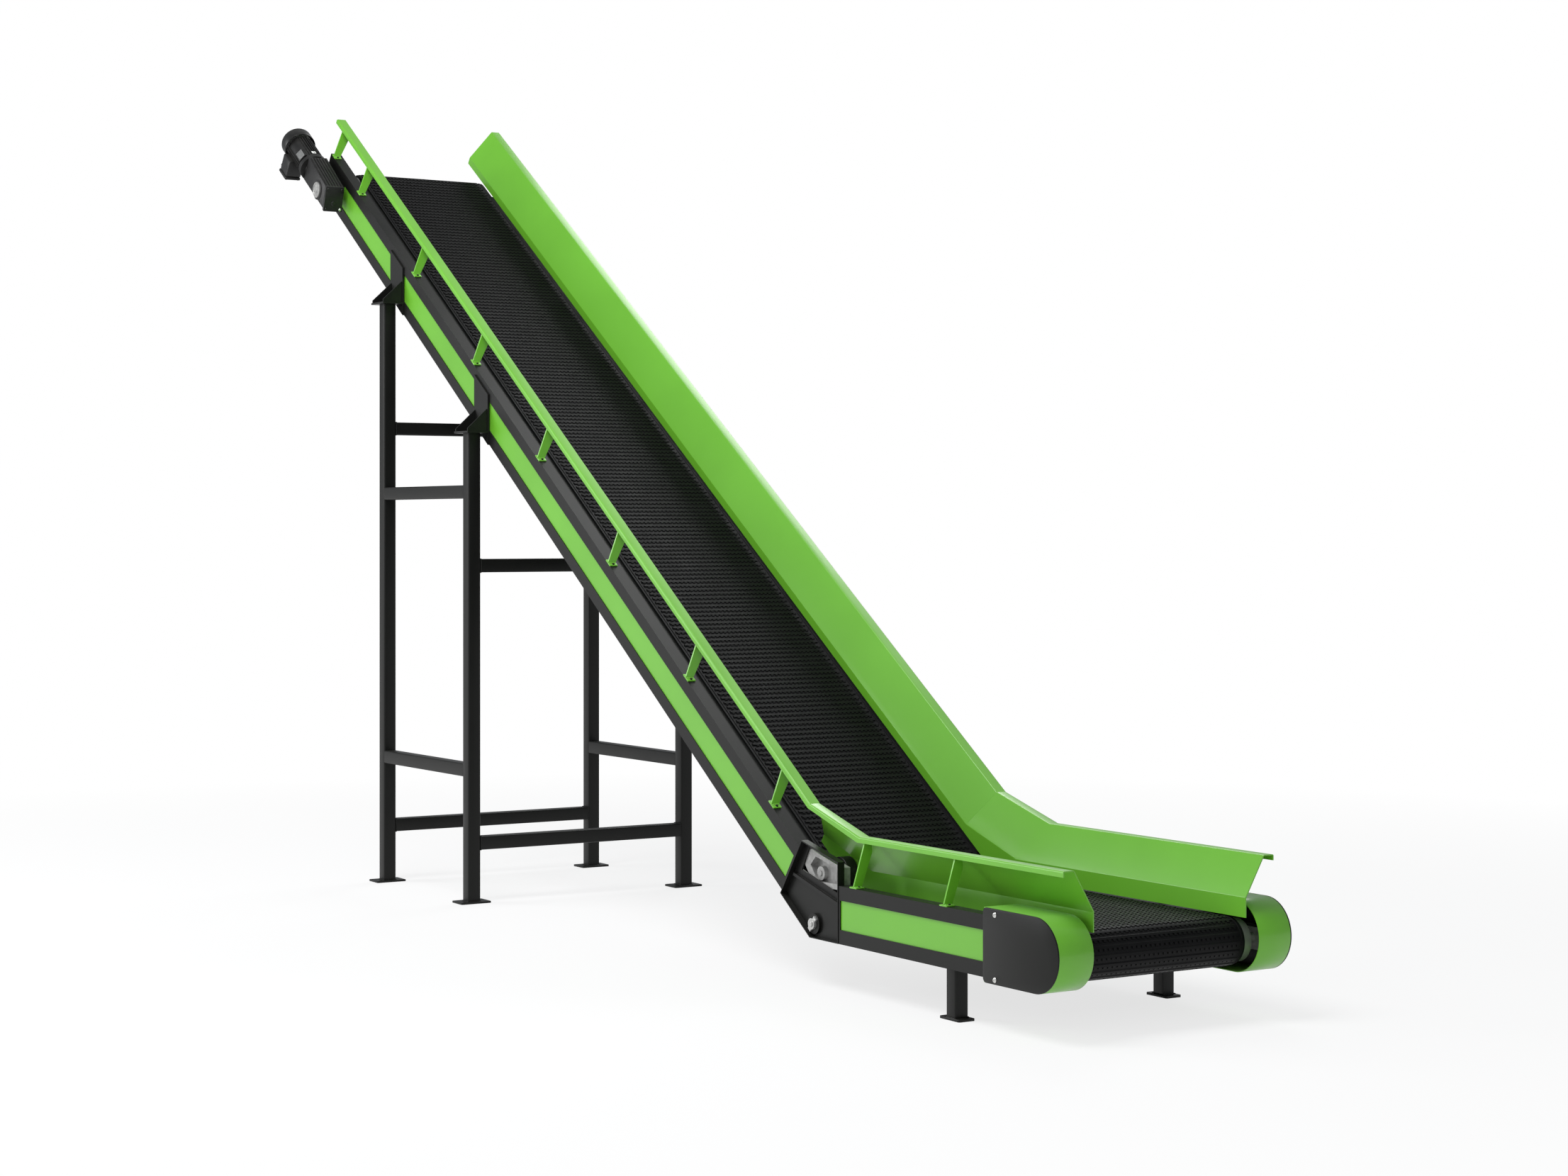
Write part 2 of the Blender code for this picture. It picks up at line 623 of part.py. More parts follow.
def make_knee(level, side):
    """The plate that joins the runs: a tray open outwards, with a window, a rib and a boss."""
    face = KNEE_PLATE_FACE
    front = face + KNEE_PLATE_SHEET
    rim = face + KNEE_RIM_DEPTH
    tray = plate(knee_outline(KNEE_RIM_SHEET), front, rim + 0.01)
    opening = [(-0.095, -0.045), (-0.095, 0.082), (0.150, 0.136), (0.190, 0.068), (0.208, 0.036)]
    rib_ends = ((-0.108, -0.092), (0.262, 0.006))
    rib = [rib_ends[0], rib_ends[1], (rib_ends[1][0] - 0.006, rib_ends[1][1] + 0.012)]
    rib += [(rib_ends[0][0], rib_ends[0][1] + 0.013)]
    boss_at = (BEND_ROLLER_AT[0], 0.0, BEND_ROLLER_AT[1])
    boss = rod(KNEE_BOSS_RADIUS, front - 0.002, front + 0.012, "Y", boss_at, 24)
    bore = rod(BEND_ROLLER_PIN_RADIUS + TURN_CLEAR, face - 0.01, rim + 0.03, "Y", boss_at)
    sided(
        "knee_plate", "black paint", level, side, plate(knee_outline(), face, rim),
        (), [tray, plate(opening, face - 0.01, front + 0.01)],
    )
    joined = bpy.data.objects["knee_plate_" + ("left" if side > 0 else "right")]
    weld_later(joined, level, side, [plate(rib, front - 0.002, front + 0.014), boss], [bore])

    make_hold_down(level, side)
    make_knee_bearing(level, side, front + 0.012 + CLEAR, boss_at)


def weld_later(made, parent, side, add, cut):
    """Joins shapes to a piece after its own cuts, then makes further cuts."""
    for operation, shapes in (("UNION", add), ("DIFFERENCE", cut)):
        for number, shape in enumerate(shapes):
            label = f"{made.name}.late.{operation}.{number}"
            helper = link(label, mirrored(shape, side), parent, (0.0, 0.0, 0.0))
            helper.hide_render = True
            helper.display_type = "WIRE"
            boolean = made.modifiers.new(helper.name, "BOOLEAN")
            boolean.operation = operation
            boolean.solver = "EXACT"
            boolean.object = helper


def make_hold_down(level, side):
    """The casting on the knee plate and the wheel that holds the belt's edge down."""
    x, z = hold_down_centre()
    outer = KNEE_PLATE_FACE - CLEAR
    back = outer - CARRIER_DEPTH
    outline = [
        (-0.098, -0.024), (0.104, -0.027), (0.124, -0.021), (0.196, 0.060), (0.188, 0.112),
        (0.146, 0.128), (-0.098, 0.072),
    ]
    wheel_low = SKIRT_HALF_WIDTH + GUARD_SHEET + 0.003
    axle_radius = 0.012
    axle = rod(axle_radius, wheel_low + 0.006, outer - 0.005, "Y", (x, 0.0, z))
    pocket = [(-0.080, 0.000), (0.092, -0.006), (0.150, 0.062), (0.110, 0.100), (-0.080, 0.058)]
    hub = rod(0.030, back - 0.004, outer - 0.010, "Y", (x, 0.0, z), 24)
    sided(
        "knee_hold_down_carrier", "cast grey", level, side, plate(outline, back, outer),
        (), [plate(pocket, back + 0.010, outer + 0.01)],
    )
    carrier = bpy.data.objects["knee_hold_down_carrier_" + ("left" if side > 0 else "right")]
    weld_later(carrier, level, side, [hub, axle], [])

    bore = axle_radius + TURN_CLEAR
    face = wheel_low + HOLD_DOWN_WIDTH
    hub_end = back - 0.004 - TURN_CLEAR
    profile = [(bore, wheel_low), (0.028, wheel_low), (0.034, wheel_low + 0.012)]
    profile += [(HOLD_DOWN_RADIUS - 0.010, wheel_low + 0.012), (HOLD_DOWN_RADIUS - 0.006, wheel_low)]
    profile += [(HOLD_DOWN_RADIUS, wheel_low), (HOLD_DOWN_RADIUS, face)]
    profile += [(HOLD_DOWN_RADIUS - 0.006, face), (HOLD_DOWN_RADIUS - 0.010, face - 0.012)]
    profile += [(0.034, face - 0.012), (0.028, hub_end), (bore, hub_end)]
    sided("knee_hold_down_wheel", "bare steel", level, side, turned(profile, 28), at=(x, 0.0, z))


def make_knee_bearing(level, side, seat, centre):
    """The bearing cap with two lugs that carries the bend roller's pin."""
    lug = [(-0.036, -0.011), (0.036, -0.011), (0.036, 0.011), (-0.036, 0.011)]
    turn = math.radians(-50.0)
    turned_lug = [
        (
            centre[0] + u * math.cos(turn) - v * math.sin(turn),
            centre[2] + u * math.sin(turn) + v * math.cos(turn),
        )
        for u, v in lug
    ]
    ring = [(BEND_ROLLER_PIN_RADIUS + TURN_CLEAR, seat), (0.024, seat)]
    ring += [(0.024, seat + 0.012), (BEND_ROLLER_PIN_RADIUS + TURN_CLEAR, seat + 0.012)]
    bore = rod(BEND_ROLLER_PIN_RADIUS + TURN_CLEAR, seat - 0.01, seat + 0.03, "Y", centre)
    sided(
        "knee_bearing", "bare steel", level, side, plate(turned_lug, seat, seat + 0.008),
        [turned(ring, 24, "Y", centre)], [bore],
    )


# ---- tail ---------------------------------------------------------------------------
def make_tail(level, side):
    """The cowl over the tail drum's end, its plate, and the take-up block inside."""
    nose = (-INFEED_LENGTH - COWL_NOSE_AHEAD, -COWL_DROP)
    outer, sheet = COWL_RADIUS, COWL_SHEET
    rear = INFEED_FRAME_START
    plate_inner = FRAME_HALF_WIDTH + CLEAR
    band = [(rear, nose[1] + outer)] + arc(nose, outer, 90.0, 270.0, 20) + [(rear, nose[1] - outer)]
    band += [(rear, nose[1] - outer + sheet)]
    band += arc(nose, outer - sheet, 270.0, 90.0, 20) + [(rear, nose[1] + outer - sheet)]
    sided("tail_cowl", "green paint", level, side, plate(band, COWL_INNER, plate_inner + 0.002))

    seat = plate_inner + 0.002 + CLEAR
    corner = 0.020
    cover = arc(nose, outer, 90.0, 270.0, 20)
    cover += arc((rear - corner, nose[1] - outer + corner), corner, 270.0, 360.0, 4)
    cover += arc((rear - corner, nose[1] + outer - corner), corner, 0.0, 90.0, 4)
    bolts = []
    for n in (0.008, -0.244):
        place = (rear - 0.078, 0.0, n)
        head = seat + COWL_PLATE
        bolts.append(rod(COWL_BOLT_RADIUS, head - 0.002, head + 0.006, "Y", place, 12))
        bolts.append(rod(COWL_BOLT_RADIUS, plate_inner, seat + 0.002, "Y", place, 12))
    sided(
        "tail_cowl_plate", "black paint", level, side, plate(cover, seat, seat + COWL_PLATE), bolts,
    )

    length, width, height = TAKE_UP_BLOCK
    high = CHEEK_INNER - TURN_CLEAR
    low = high - width
    block = box((-length / 2.0, low, -height / 2.0), (length / 2.0, high, height / 2.0))
    middle = (low + high) / 2.0
    screw = rod(
        TAKE_UP_SCREW_RADIUS, length / 2.0 - 0.004, length / 2.0 + TAKE_UP_SCREW_LENGTH, "X",
        (0.0, middle, 0.0), 12,
    )
    bore = rod(SHAFT_RADIUS + TURN_CLEAR, low - 0.01, high + 0.01)
    sided(
        "take_up_block", "cast grey", level, side, block, [screw], [bore],
        at=(-INFEED_LENGTH, 0.0, -TAIL_DROP),
    )


# ---- guards -------------------------------------------------------------------------
def guard_line(heights):
    """A guard's cross-section line: skirt, flare, top flange and lip."""
    low, bend, top = heights
    return [
        (SKIRT_HALF_WIDTH, low), (SKIRT_HALF_WIDTH, bend), (GUARD_TOP_HALF_WIDTH, top),
        (RAIL_HALF_WIDTH, top), (RAIL_HALF_WIDTH, top - RAIL_LIP),
    ]


def post_shapes(station, top, lean):
    """A post's web with its top gusset, and its foot; the lean keeps the post upright."""
    inner = FLANGE_EDGE + POST_INSET
    outer = inner + POST_WIDTH
    root = CLEAR + FOOT_SHEET / 2.0
    rail = RAIL_HALF_WIDTH - 0.002
    shelf = GUARD_TOP_HALF_WIDTH + 0.008
    web = [
        (inner, root), (outer, root), (rail, top - 0.030), (rail, top - 0.002),
        (shelf, top - 0.002), (shelf, top - 0.022), (rail - POST_WIDTH, top - 0.062),
    ]
    half = POST_THICKNESS / 2.0
    upright = bar(web, station - half, station + half)
    for vertex in upright.verts:
        vertex.co.x += lean * vertex.co.z
    low = (station - POST_FOOT / 2.0, inner - 0.001, CLEAR)
    foot = box(low, (station + POST_FOOT / 2.0, outer + 0.003, CLEAR + FOOT_SHEET))
    return [upright, foot]


def make_guards(level, climb):
    """The guards: whole sheets, except on the climb's left, which has only the rail."""
    posts = [FIRST_POST + POST_PITCH * i for i in range(POST_COUNT)] + [END_POST]
    low, bend, top = INFEED_GUARD
    tail_end = -INFEED_LENGTH - GUARD_TAIL_OVERHANG
    lean = math.tan(INCLINE)
    meet = (low * math.cos(INCLINE) - INCLINE_GUARD[0]) / math.sin(INCLINE)
    section = sheet_outline(guard_line(INFEED_GUARD), GUARD_SHEET)
    bent = sheet_outline(guard_line(INCLINE_GUARD), GUARD_SHEET)
    fold = []
    for w, n in section:
        x = meet if n <= low else GUARD_FOLD_START - (n - bend) * lean
        fold.append((x, w, n))
    splice = []
    for w, n in bent:
        x, z = climbed(GUARD_SPLICE, n)
        splice.append((x, w, z))
    for side in (1, -1):
        base = loft([[(tail_end, w, n) for w, n in section], fold, splice])
        add = [shape for station in INFEED_POSTS for shape in post_shapes(station, top, 0.0)]
        sided("guard_infeed", "green paint", level, side, base, add)

    start = GUARD_SPLICE + CLEAR
    add = [shape for station in posts for shape in post_shapes(station, INCLINE_GUARD[2], lean)]
    sided("guard_incline", "green paint", climb, -1, bar(bent, start, GUARD_HEAD_END), add)
    rail = sheet_outline(guard_line(INCLINE_GUARD)[2:], GUARD_SHEET)
    add = [shape for station in posts for shape in post_shapes(station, INCLINE_GUARD[2], lean)]
    sided("guard_rail_incline", "green paint", climb, 1, bar(rail, start, GUARD_HEAD_END), add)


# ---- trestle, brackets and feet -----------------------------------------------------
def leg_top(station):
    """Height of a trestle leg's top above the floor."""
    drop = FRAME_DEPTH / math.cos(INCLINE)
    return FRAME_TOP + station * math.tan(INCLINE) - drop + BRACKET_RISE


def make_trestle(ground, side):
    """One side of the trestle: two legs with foot plates, joined by two bars."""
    half, thick = LEG / 2.0, FOOT_PLATE[2]
    y = LEG_HALF_WIDTH
    shapes, cuts = [], []
    for x in LEG_STATIONS:
        top = leg_top(x) - CLEAR
        shapes.append(box((x - half, y - half, thick / 2.0), (x + half, y + half, top)))
        hollow = half - LEG_WALL
        cuts.append(box((x - hollow, y - hollow, thick + 0.02), (x + hollow, y + hollow, top + 0.02)))
        low = (x - FOOT_PLATE[0] / 2.0, y - FOOT_PLATE[1] / 2.0, 0.0)
        shapes.append(box(low, (x + FOOT_PLATE[0] / 2.0, y + FOOT_PLATE[1] / 2.0, thick)))
    first, last = LEG_STATIONS
    bar_half = half - 0.001
    for z in SIDE_BAR_HEIGHTS:
        low = (first + hollow + 0.001, y - bar_half, z - half)
        shapes.append(box(low, (last - hollow - 0.001, y + bar_half, z + half)))
    sided("trestle_side", "black paint", ground, side, shapes[0], shapes[1:], cuts)


def make_cross_bars(ground):
    """The bars that tie the two sides of the trestle together."""
    reach = LEG_HALF_WIDTH - LEG / 2.0 - CLEAR
    for label, x, high in zip(("upstream", "downstream"), LEG_STATIONS, HIGH_BAR_HEIGHTS):
        for level_name, z in (("low", LOW_BAR_HEIGHT), ("high", high)):
            low = (x - LEG / 2.0, -reach, z - LEG / 2.0)
            shape = box(low, (x + LEG / 2.0, reach, z + LEG / 2.0))
            hollow = LEG / 2.0 - LEG_WALL
            core = box((x - hollow, -reach - 0.01, z - hollow), (x + hollow, reach + 0.01, z + hollow))
            piece(f"cross_bar_{label}_{level_name}", "black paint", ground, shape, (), [core])


def make_brackets(ground, side):
    """The welded brackets that seat the side frames on the trestle's legs."""
    inner = FRAME_HALF_WIDTH + CLEAR
    face = inner + BRACKET_SHEET
    reach = face + BRACKET_REACH
    for label, x in zip(("upstream", "downstream"), LEG_STATIONS):
        seat = leg_top(x)
        half = BRACKET_SEAT / 2.0
        low_edge = seat - BRACKET_RISE + 0.001
        top_edge = low_edge + (FRAME_DEPTH - BRACKET_TOP) / math.cos(INCLINE)
        lean = half * math.tan(INCLINE)
        back = [
            (x - half, low_edge - lean), (x + 0.010, seat + 0.003), (x + half, seat + 0.003),
            (x + half, top_edge + lean), (x - half, top_edge - lean),
        ]
        base = box(
            (x - BRACKET_SEAT / 2.0, inner + 0.004, seat),
            (x + BRACKET_SEAT / 2.0, reach, seat + BRACKET_SHEET),
        )
        ribs = []
        for sign in (-1.0, 1.0):
            centre = x + sign * (BRACKET_SEAT / 2.0 - 0.010)
            rib = [
                (face - 0.004, seat + 0.004), (reach - 0.004, seat + 0.004),
                (reach - 0.004, seat + 0.024), (face - 0.004, seat + BRACKET_RIB),
            ]
            ribs.append(bar(rib, centre - 0.004, centre + 0.004))
        sided(
            f"leg_bracket_{label}", "black paint", ground, side, base,
            [plate(back, inner, face), *ribs],
        )


def make_infeed_leg(ground, side):
    """A short foot under the level run."""
    x, y, half = INFEED_LEG_STATION, INFEED_LEG_HALF_WIDTH, INFEED_LEG / 2.0
    thick = INFEED_FOOT_PLATE[2]
    top = FRAME_TOP - FRAME_DEPTH - CLEAR
    tube = box((x - half, y - half, thick / 2.0), (x + half, y + half, top))
    low = (x - INFEED_FOOT_PLATE[0] / 2.0, y - INFEED_FOOT_PLATE[1] / 2.0, 0.0)
    foot = box(low, (x + INFEED_FOOT_PLATE[0] / 2.0, y + INFEED_FOOT_PLATE[1] / 2.0, thick))
    hollow = half - LEG_WALL
    core = box((x - hollow, y - hollow, thick + 0.02), (x + hollow, y + hollow, top + 0.02))
    sided("infeed_leg", "black paint", ground, side, tube, [foot], [core])


# ---- head and drive -----------------------------------------------------------------
def make_head(climb):
    """The head drum, its flange bearings, and the gearmotor on its shaft."""
    axis = (INCLINE_LENGTH, 0.0, -HEAD_DROP)
    seat = FRAME_HALF_WIDTH + CLEAR
    ends = (-HEAD_SHAFT_REACH, SHAFT_END)
    drum("head_drum", "belt rubber", climb, HEAD_DRUM_RADIUS, DRUM_HALF_WIDTH, ends, axis)
    half = BEARING_FLANGE / 2.0
    flange_box = box(
        (axis[0] - half, seat, axis[2] - half), (axis[0] + half, seat + BEARING_SHEET, axis[2] + half)
    )
    for side in (1, -1):
        end = GEARBOX_BACK - 0.003
        boss = rod(0.044, seat + BEARING_SHEET - 0.002, end, "Y", axis, 24)
        bore = rod(SHAFT_RADIUS + TURN_CLEAR, seat - 0.02, end + 0.02, "Y", axis, ROUND)
        sided("head_bearing", "cast grey", climb, side, flange_box.copy(), [boss], [bore])
    flange_box.free()
    make_gearbox(climb, axis)
    make_motor(climb, axis)


def make_gearbox(climb, axis):
    """The gearbox: housing, output wheel on its hollow shaft, cover and torque arm."""
    s, n = axis[0], axis[2]
    rear, wall = s + GEARBOX_REAR, GEARBOX_WALL
    front_top = (s + GEARBOX_FRONT_TOP[0], GEARBOX_FRONT_TOP[1])
    front_bottom = (s + GEARBOX_FRONT_BOTTOM[0], GEARBOX_FRONT_BOTTOM[1])
    outline = [front_bottom, (rear, front_bottom[1]), (rear, GEARBOX_REAR_TOP), front_top]
    case_low = (s - OUTPUT_CASE_HALF, GEARBOX_BACK, n - OUTPUT_CASE_HALF)
    case_high = (s + OUTPUT_CASE_HALF, GEARBOX_BACK + OUTPUT_CASE_WIDTH, front_bottom[1] + 0.010)
    case = box(case_low, case_high)
    cavity_low = (front_top[0] + wall, GEARBOX_BACK + wall, front_bottom[1] + wall)
    cavity = box(cavity_low, (rear - wall, GEARBOX_OUTER - wall, front_top[1] - wall))
    wheel_space = box(
        [corner + OUTPUT_CASE_WALL for corner in case_low],
        (case_high[0] - OUTPUT_CASE_WALL, case_high[1] - OUTPUT_CASE_WALL, cavity_low[2] + 0.020),
    )
    bore_radius = HOLLOW_SHAFT_RADIUS + TURN_CLEAR
    bore = rod(bore_radius, GEARBOX_BACK - 0.020, GEARBOX_BACK + 0.015, "Y", axis, ROUND)
    worm_axis = (0.0, MOTOR_OFFSET, n + WORM_OFFSET)
    input_bore = rod(INPUT_BORE, rear - 0.030, rear + 0.020, "X", worm_axis, 24)
    body = piece(
        "gearbox_housing", "motor enamel", climb, plate(outline, GEARBOX_BACK, GEARBOX_OUTER),
        [case], [cavity, wheel_space, bore, input_bore],
    )
    bevel = body.modifiers.new("edges", "BEVEL")
    bevel.width = 0.004
    bevel.segments = 1
    bevel.limit_method = "ANGLE"
    bevel.angle_limit = math.radians(60.0)
    while body.modifiers.find("edges") > 0:
        body.modifiers.move(body.modifiers.find("edges"), body.modifiers.find("edges") - 1)

    inner_bore = SHAFT_RADIUS + TURN_CLEAR
    first, last = GEARBOX_BACK + 0.002, SHAFT_END
    face = GEARBOX_BACK + 2.0 * OUTPUT_CASE_WALL
    profile = [(inner_bore, first), (HOLLOW_SHAFT_RADIUS, first), (HOLLOW_SHAFT_RADIUS, face)]
    profile += [(WHEEL_RADIUS, face), (WHEEL_RADIUS, face + WHEEL_WIDTH)]
    profile += [(HOLLOW_SHAFT_RADIUS, face + WHEEL_WIDTH), (HOLLOW_SHAFT_RADIUS, last)]
    profile += [(inner_bore, last)]
    piece("gearbox_output_wheel", "bare steel", climb, turned(profile), at=axis)

    cover_at = (s + COVER_AT[0], 0.0, COVER_AT[1])
    outer = GEARBOX_OUTER
    cover = rod(COVER_RADIUS, outer + CLEAR, outer + COVER_HEIGHT, "Y", cover_at, ROUND)
    piece("gearbox_cover", "cast grey", climb, cover)

    near, far, low, high = TORQUE_ARM
    arm = box((s + near, FRAME_HALF_WIDTH + CLEAR, low), (s + far, GEARBOX_BACK - CLEAR, high))
    piece("torque_arm", "black paint", climb, arm)


def make_motor(climb, axis):
    """The motor in line with the worm: housing, rotor with its fan, cowl, box and gland."""
    start = axis[0] + GEARBOX_REAR + CLEAR
    end = start + MOTOR_LENGTH
    centre = (0.0, MOTOR_OFFSET, axis[2] + WORM_OFFSET)
    fins = []
    for i in range(MOTOR_FINS):
        for share, radius in (
            (0.0, MOTOR_RADIUS), (0.35, MOTOR_RADIUS),
            (0.45, MOTOR_RADIUS - MOTOR_FIN), (0.90, MOTOR_RADIUS - MOTOR_FIN),
        ):
            turn = 2.0 * math.pi * (i + share) / MOTOR_FINS
            fins.append((centre[1] + radius * math.cos(turn), centre[2] + radius * math.sin(turn)))
    cap_seat = COWL_CAP_RADIUS - COWL_CAP_WALL - TURN_CLEAR
    flange = rod(MOTOR_FLANGE_RADIUS, start, start + MOTOR_FLANGE_SHEET, "X", centre, ROUND)
    rear = rod(cap_seat, end - 0.012, end, "X", centre, ROUND)
    bore = rod(MOTOR_BORE, start - 0.02, end - 0.012, "X", centre, ROUND)
    bearing = rod(MOTOR_SHAFT_RADIUS + TURN_CLEAR, end - 0.03, end + 0.02, "X", centre)
    piece(
        "motor_housing", "motor enamel", climb, bar(fins, start + 0.015, end - 0.008),
        [flange, rear], [bore, bearing],
    )

    worm = (axis[0] - WORM_HALF_LENGTH, axis[0] + WORM_HALF_LENGTH)
    core = (start + 0.070, end - 0.060)
    fan = (end + 0.024, end + 0.024 + FAN_WIDTH)
    profile = [(0.0, worm[0]), (WORM_RADIUS, worm[0]), (WORM_RADIUS, worm[1])]
    profile += [(MOTOR_SHAFT_RADIUS, worm[1]), (MOTOR_SHAFT_RADIUS, core[0])]
    profile += [(ROTOR_RADIUS, core[0]), (ROTOR_RADIUS, core[1]), (MOTOR_SHAFT_RADIUS, core[1])]
    profile += [(MOTOR_SHAFT_RADIUS, fan[0]), (FAN_RADIUS, fan[0]), (FAN_RADIUS, fan[1])]
    profile += [(MOTOR_SHAFT_RADIUS, fan[1]), (0.0, fan[1] + 0.008)]
    piece("motor_rotor", "bare steel", climb, turned(profile, 24, "X"), at=centre)

    cap_start = end - COWL_CAP_LAP
    cap_end = cap_start + COWL_CAP_LENGTH
    wall, chamfer = COWL_CAP_WALL, COWL_CAP_CHAMFER
    inner = COWL_CAP_RADIUS - wall
    profile = [(inner, cap_start), (COWL_CAP_RADIUS, cap_start)]
    profile += [(COWL_CAP_RADIUS, cap_end - chamfer), (COWL_CAP_RADIUS - chamfer, cap_end)]
    profile += [(COWL_CAP_HOLE, cap_end), (COWL_CAP_HOLE, cap_end - wall)]
    profile += [(inner - chamfer, cap_end - wall), (inner, cap_end - chamfer - wall)]
    piece("motor_fan_cowl", "motor enamel", climb, turned(profile, ROUND, "X", centre))

    length, width, height = TERMINAL_BOX
    low_s, low_w = start + TERMINAL_BOX_AT[0], centre[1] + TERMINAL_BOX_AT[1]
    top = centre[2] + TERMINAL_BOX_AT[2]
    low, high = (low_s, low_w, top - height), (low_s + length, low_w + width, top)
    saddle_radius = MOTOR_RADIUS + TURN_CLEAR
    saddle = rod(saddle_radius, low[0] - 0.02, high[0] + 0.02, "X", centre, 2 * MOTOR_FINS)
    piece("terminal_box", "motor enamel", climb, box(low, high), (), [saddle])
    gland_at = (high[0], high[1] - GLAND_INSET, low[2] + GLAND_RISE)
    profile = [(0.0, CLEAR), (0.013, CLEAR), (0.013, 0.008), (0.009, 0.010), (0.009, 0.024)]
    piece("cable_gland", "black plastic", climb, turned([*profile, (0.0, 0.024)], 12, "X", gland_at))


# ---- the whole machine --------------------------------------------------------------
def centre_on_floor(root):
    """Sets the origin under the middle of the machine's box, on the floor."""
    bpy.context.view_layer.update()
    graph = bpy.context.evaluated_depsgraph_get()
    corners = []
    for obj in bpy.data.objects:
        if obj.type == "MESH" and not obj.hide_render:
            solid = obj.evaluated_get(graph)
            corners += [solid.matrix_world @ vertex.co for vertex in solid.data.vertices]
    for axis in (0, 1):
        values = [corner[axis] for corner in corners]
        root.location[axis] -= (min(values) + max(values)) / 2.0
    root.location[2] -= min(corner[2] for corner in corners)


def main():
    for obj in list(bpy.data.objects):
        bpy.data.objects.remove(obj, do_unlink=True)
    ground = empty("conveyor")
    level = empty("infeed_line", ground, (0.0, 0.0, FRAME_TOP))
    climb = empty("incline_line", ground, (0.0, 0.0, FRAME_TOP), INCLINE)

    make_belt(level)
    make_beds(level, climb)
    make_rollers(climb, level)
    tail_reach = CHEEK_INNER - 0.005
    drum(
        "tail_drum", "bare steel", level, TAIL_DRUM_RADIUS, BELT_HALF_WIDTH + TAIL_DRUM_OVERHANG,
        (-tail_reach, tail_reach), (-INFEED_LENGTH, 0.0, -TAIL_DROP),
    )
    make_guards(level, climb)
    make_head(climb)
    make_cross_bars(ground)
    for side in (1, -1):
        make_infeed_frame(level, side)
        make_incline_frame(climb, side)
        make_knee(level, side)
        make_tail(level, side)
        make_trestle(ground, side)
        make_brackets(ground, side)
        make_infeed_leg(ground, side)
    centre_on_floor(ground)


main()
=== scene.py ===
"""Looks of an inclined belt conveyor section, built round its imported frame.

Metres, +Z up, +X the way the load travels, +Y the side with the gearmotor. Each
sub-assembly is a class that holds its sizes and dresses or replaces the frame's nodes.
Places on a run are given as s along the run, w out from the belt's centre line and n
square to the run, above the side frames' top edge.
"""

import json
import logging
import math
from collections.abc import Callable, Sequence
from dataclasses import dataclass, field
from enum import Enum

import bmesh
import bpy
from mathutils import Matrix, Vector

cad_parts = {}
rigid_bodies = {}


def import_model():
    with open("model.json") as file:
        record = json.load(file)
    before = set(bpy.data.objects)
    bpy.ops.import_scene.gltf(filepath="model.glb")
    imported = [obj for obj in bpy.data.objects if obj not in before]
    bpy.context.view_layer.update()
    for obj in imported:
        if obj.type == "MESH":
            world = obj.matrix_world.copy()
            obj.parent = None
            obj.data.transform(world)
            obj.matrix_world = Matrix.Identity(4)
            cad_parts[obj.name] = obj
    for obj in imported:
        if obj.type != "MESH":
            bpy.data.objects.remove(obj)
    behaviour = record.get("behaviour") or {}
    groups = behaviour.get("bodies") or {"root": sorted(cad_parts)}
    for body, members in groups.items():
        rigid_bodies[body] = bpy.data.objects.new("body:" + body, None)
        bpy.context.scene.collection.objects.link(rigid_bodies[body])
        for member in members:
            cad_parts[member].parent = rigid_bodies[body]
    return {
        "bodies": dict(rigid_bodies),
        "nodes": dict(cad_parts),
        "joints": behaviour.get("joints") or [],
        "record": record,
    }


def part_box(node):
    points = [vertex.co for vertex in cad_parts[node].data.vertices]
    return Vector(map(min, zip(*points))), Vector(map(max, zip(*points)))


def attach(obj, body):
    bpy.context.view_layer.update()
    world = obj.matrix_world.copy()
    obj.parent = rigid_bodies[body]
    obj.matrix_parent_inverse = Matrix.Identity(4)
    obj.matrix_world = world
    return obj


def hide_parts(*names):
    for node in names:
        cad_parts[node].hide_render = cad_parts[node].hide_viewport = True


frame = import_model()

log = logging.getLogger("conveyor")
Point2 = tuple[float, float]
Point3 = tuple[float, float, float]
Loop = Sequence[Point3]
Input = float | tuple[float, ...] | bpy.types.NodeSocket
BeltLine = list[tuple[Vector, Vector, float]]
MACHINE = Matrix.Identity(4)
RUNNING_GAP = 0.0003  # between a piece and what carries it
SHARP = math.radians(32.0)  # edges that turn by more than this stay crisp


class Side(Enum):
    """Which side of the belt a piece stands on, looking the way the load travels."""

    LEFT = 1
    RIGHT = -1

    @property
    def label(self) -> str:
        """The word that the frame's node names end in."""
        return self.name.lower()


class Axis(Enum):
    """The axis a turned piece spins about, in its own line's coordinates."""

    ALONG = 0
    ACROSS = 1
    UP = 2


# ---- finishes -----------------------------------------------------------------------
def fill(tree: bpy.types.NodeTree, node: bpy.types.Node, inputs: dict[str | int, Input]) -> None:
    """Sets each input named to a number or a colour, or links it to another node's output."""
    for name, value in inputs.items():
        if isinstance(value, bpy.types.NodeSocket):
            tree.links.new(value, node.inputs[name])
        else:
            node.inputs[name].default_value = value


def add(
    tree: bpy.types.NodeTree, kind: str, inputs: dict[str | int, Input], **settings: str
) -> bpy.types.Node:
    """Adds a shader node.

    Args:
        tree: the node tree it goes into.
        kind: its type, without the word that all the types start with.
        inputs: a number, a colour or another node's output for each input.
        settings: the node's own choices, such as its operation.

    Returns:
        The node.
    """
    node = tree.nodes.new(f"ShaderNode{kind}")
    for name, value in settings.items():
        setattr(node, name, value)
    fill(tree, node, inputs)
    return node


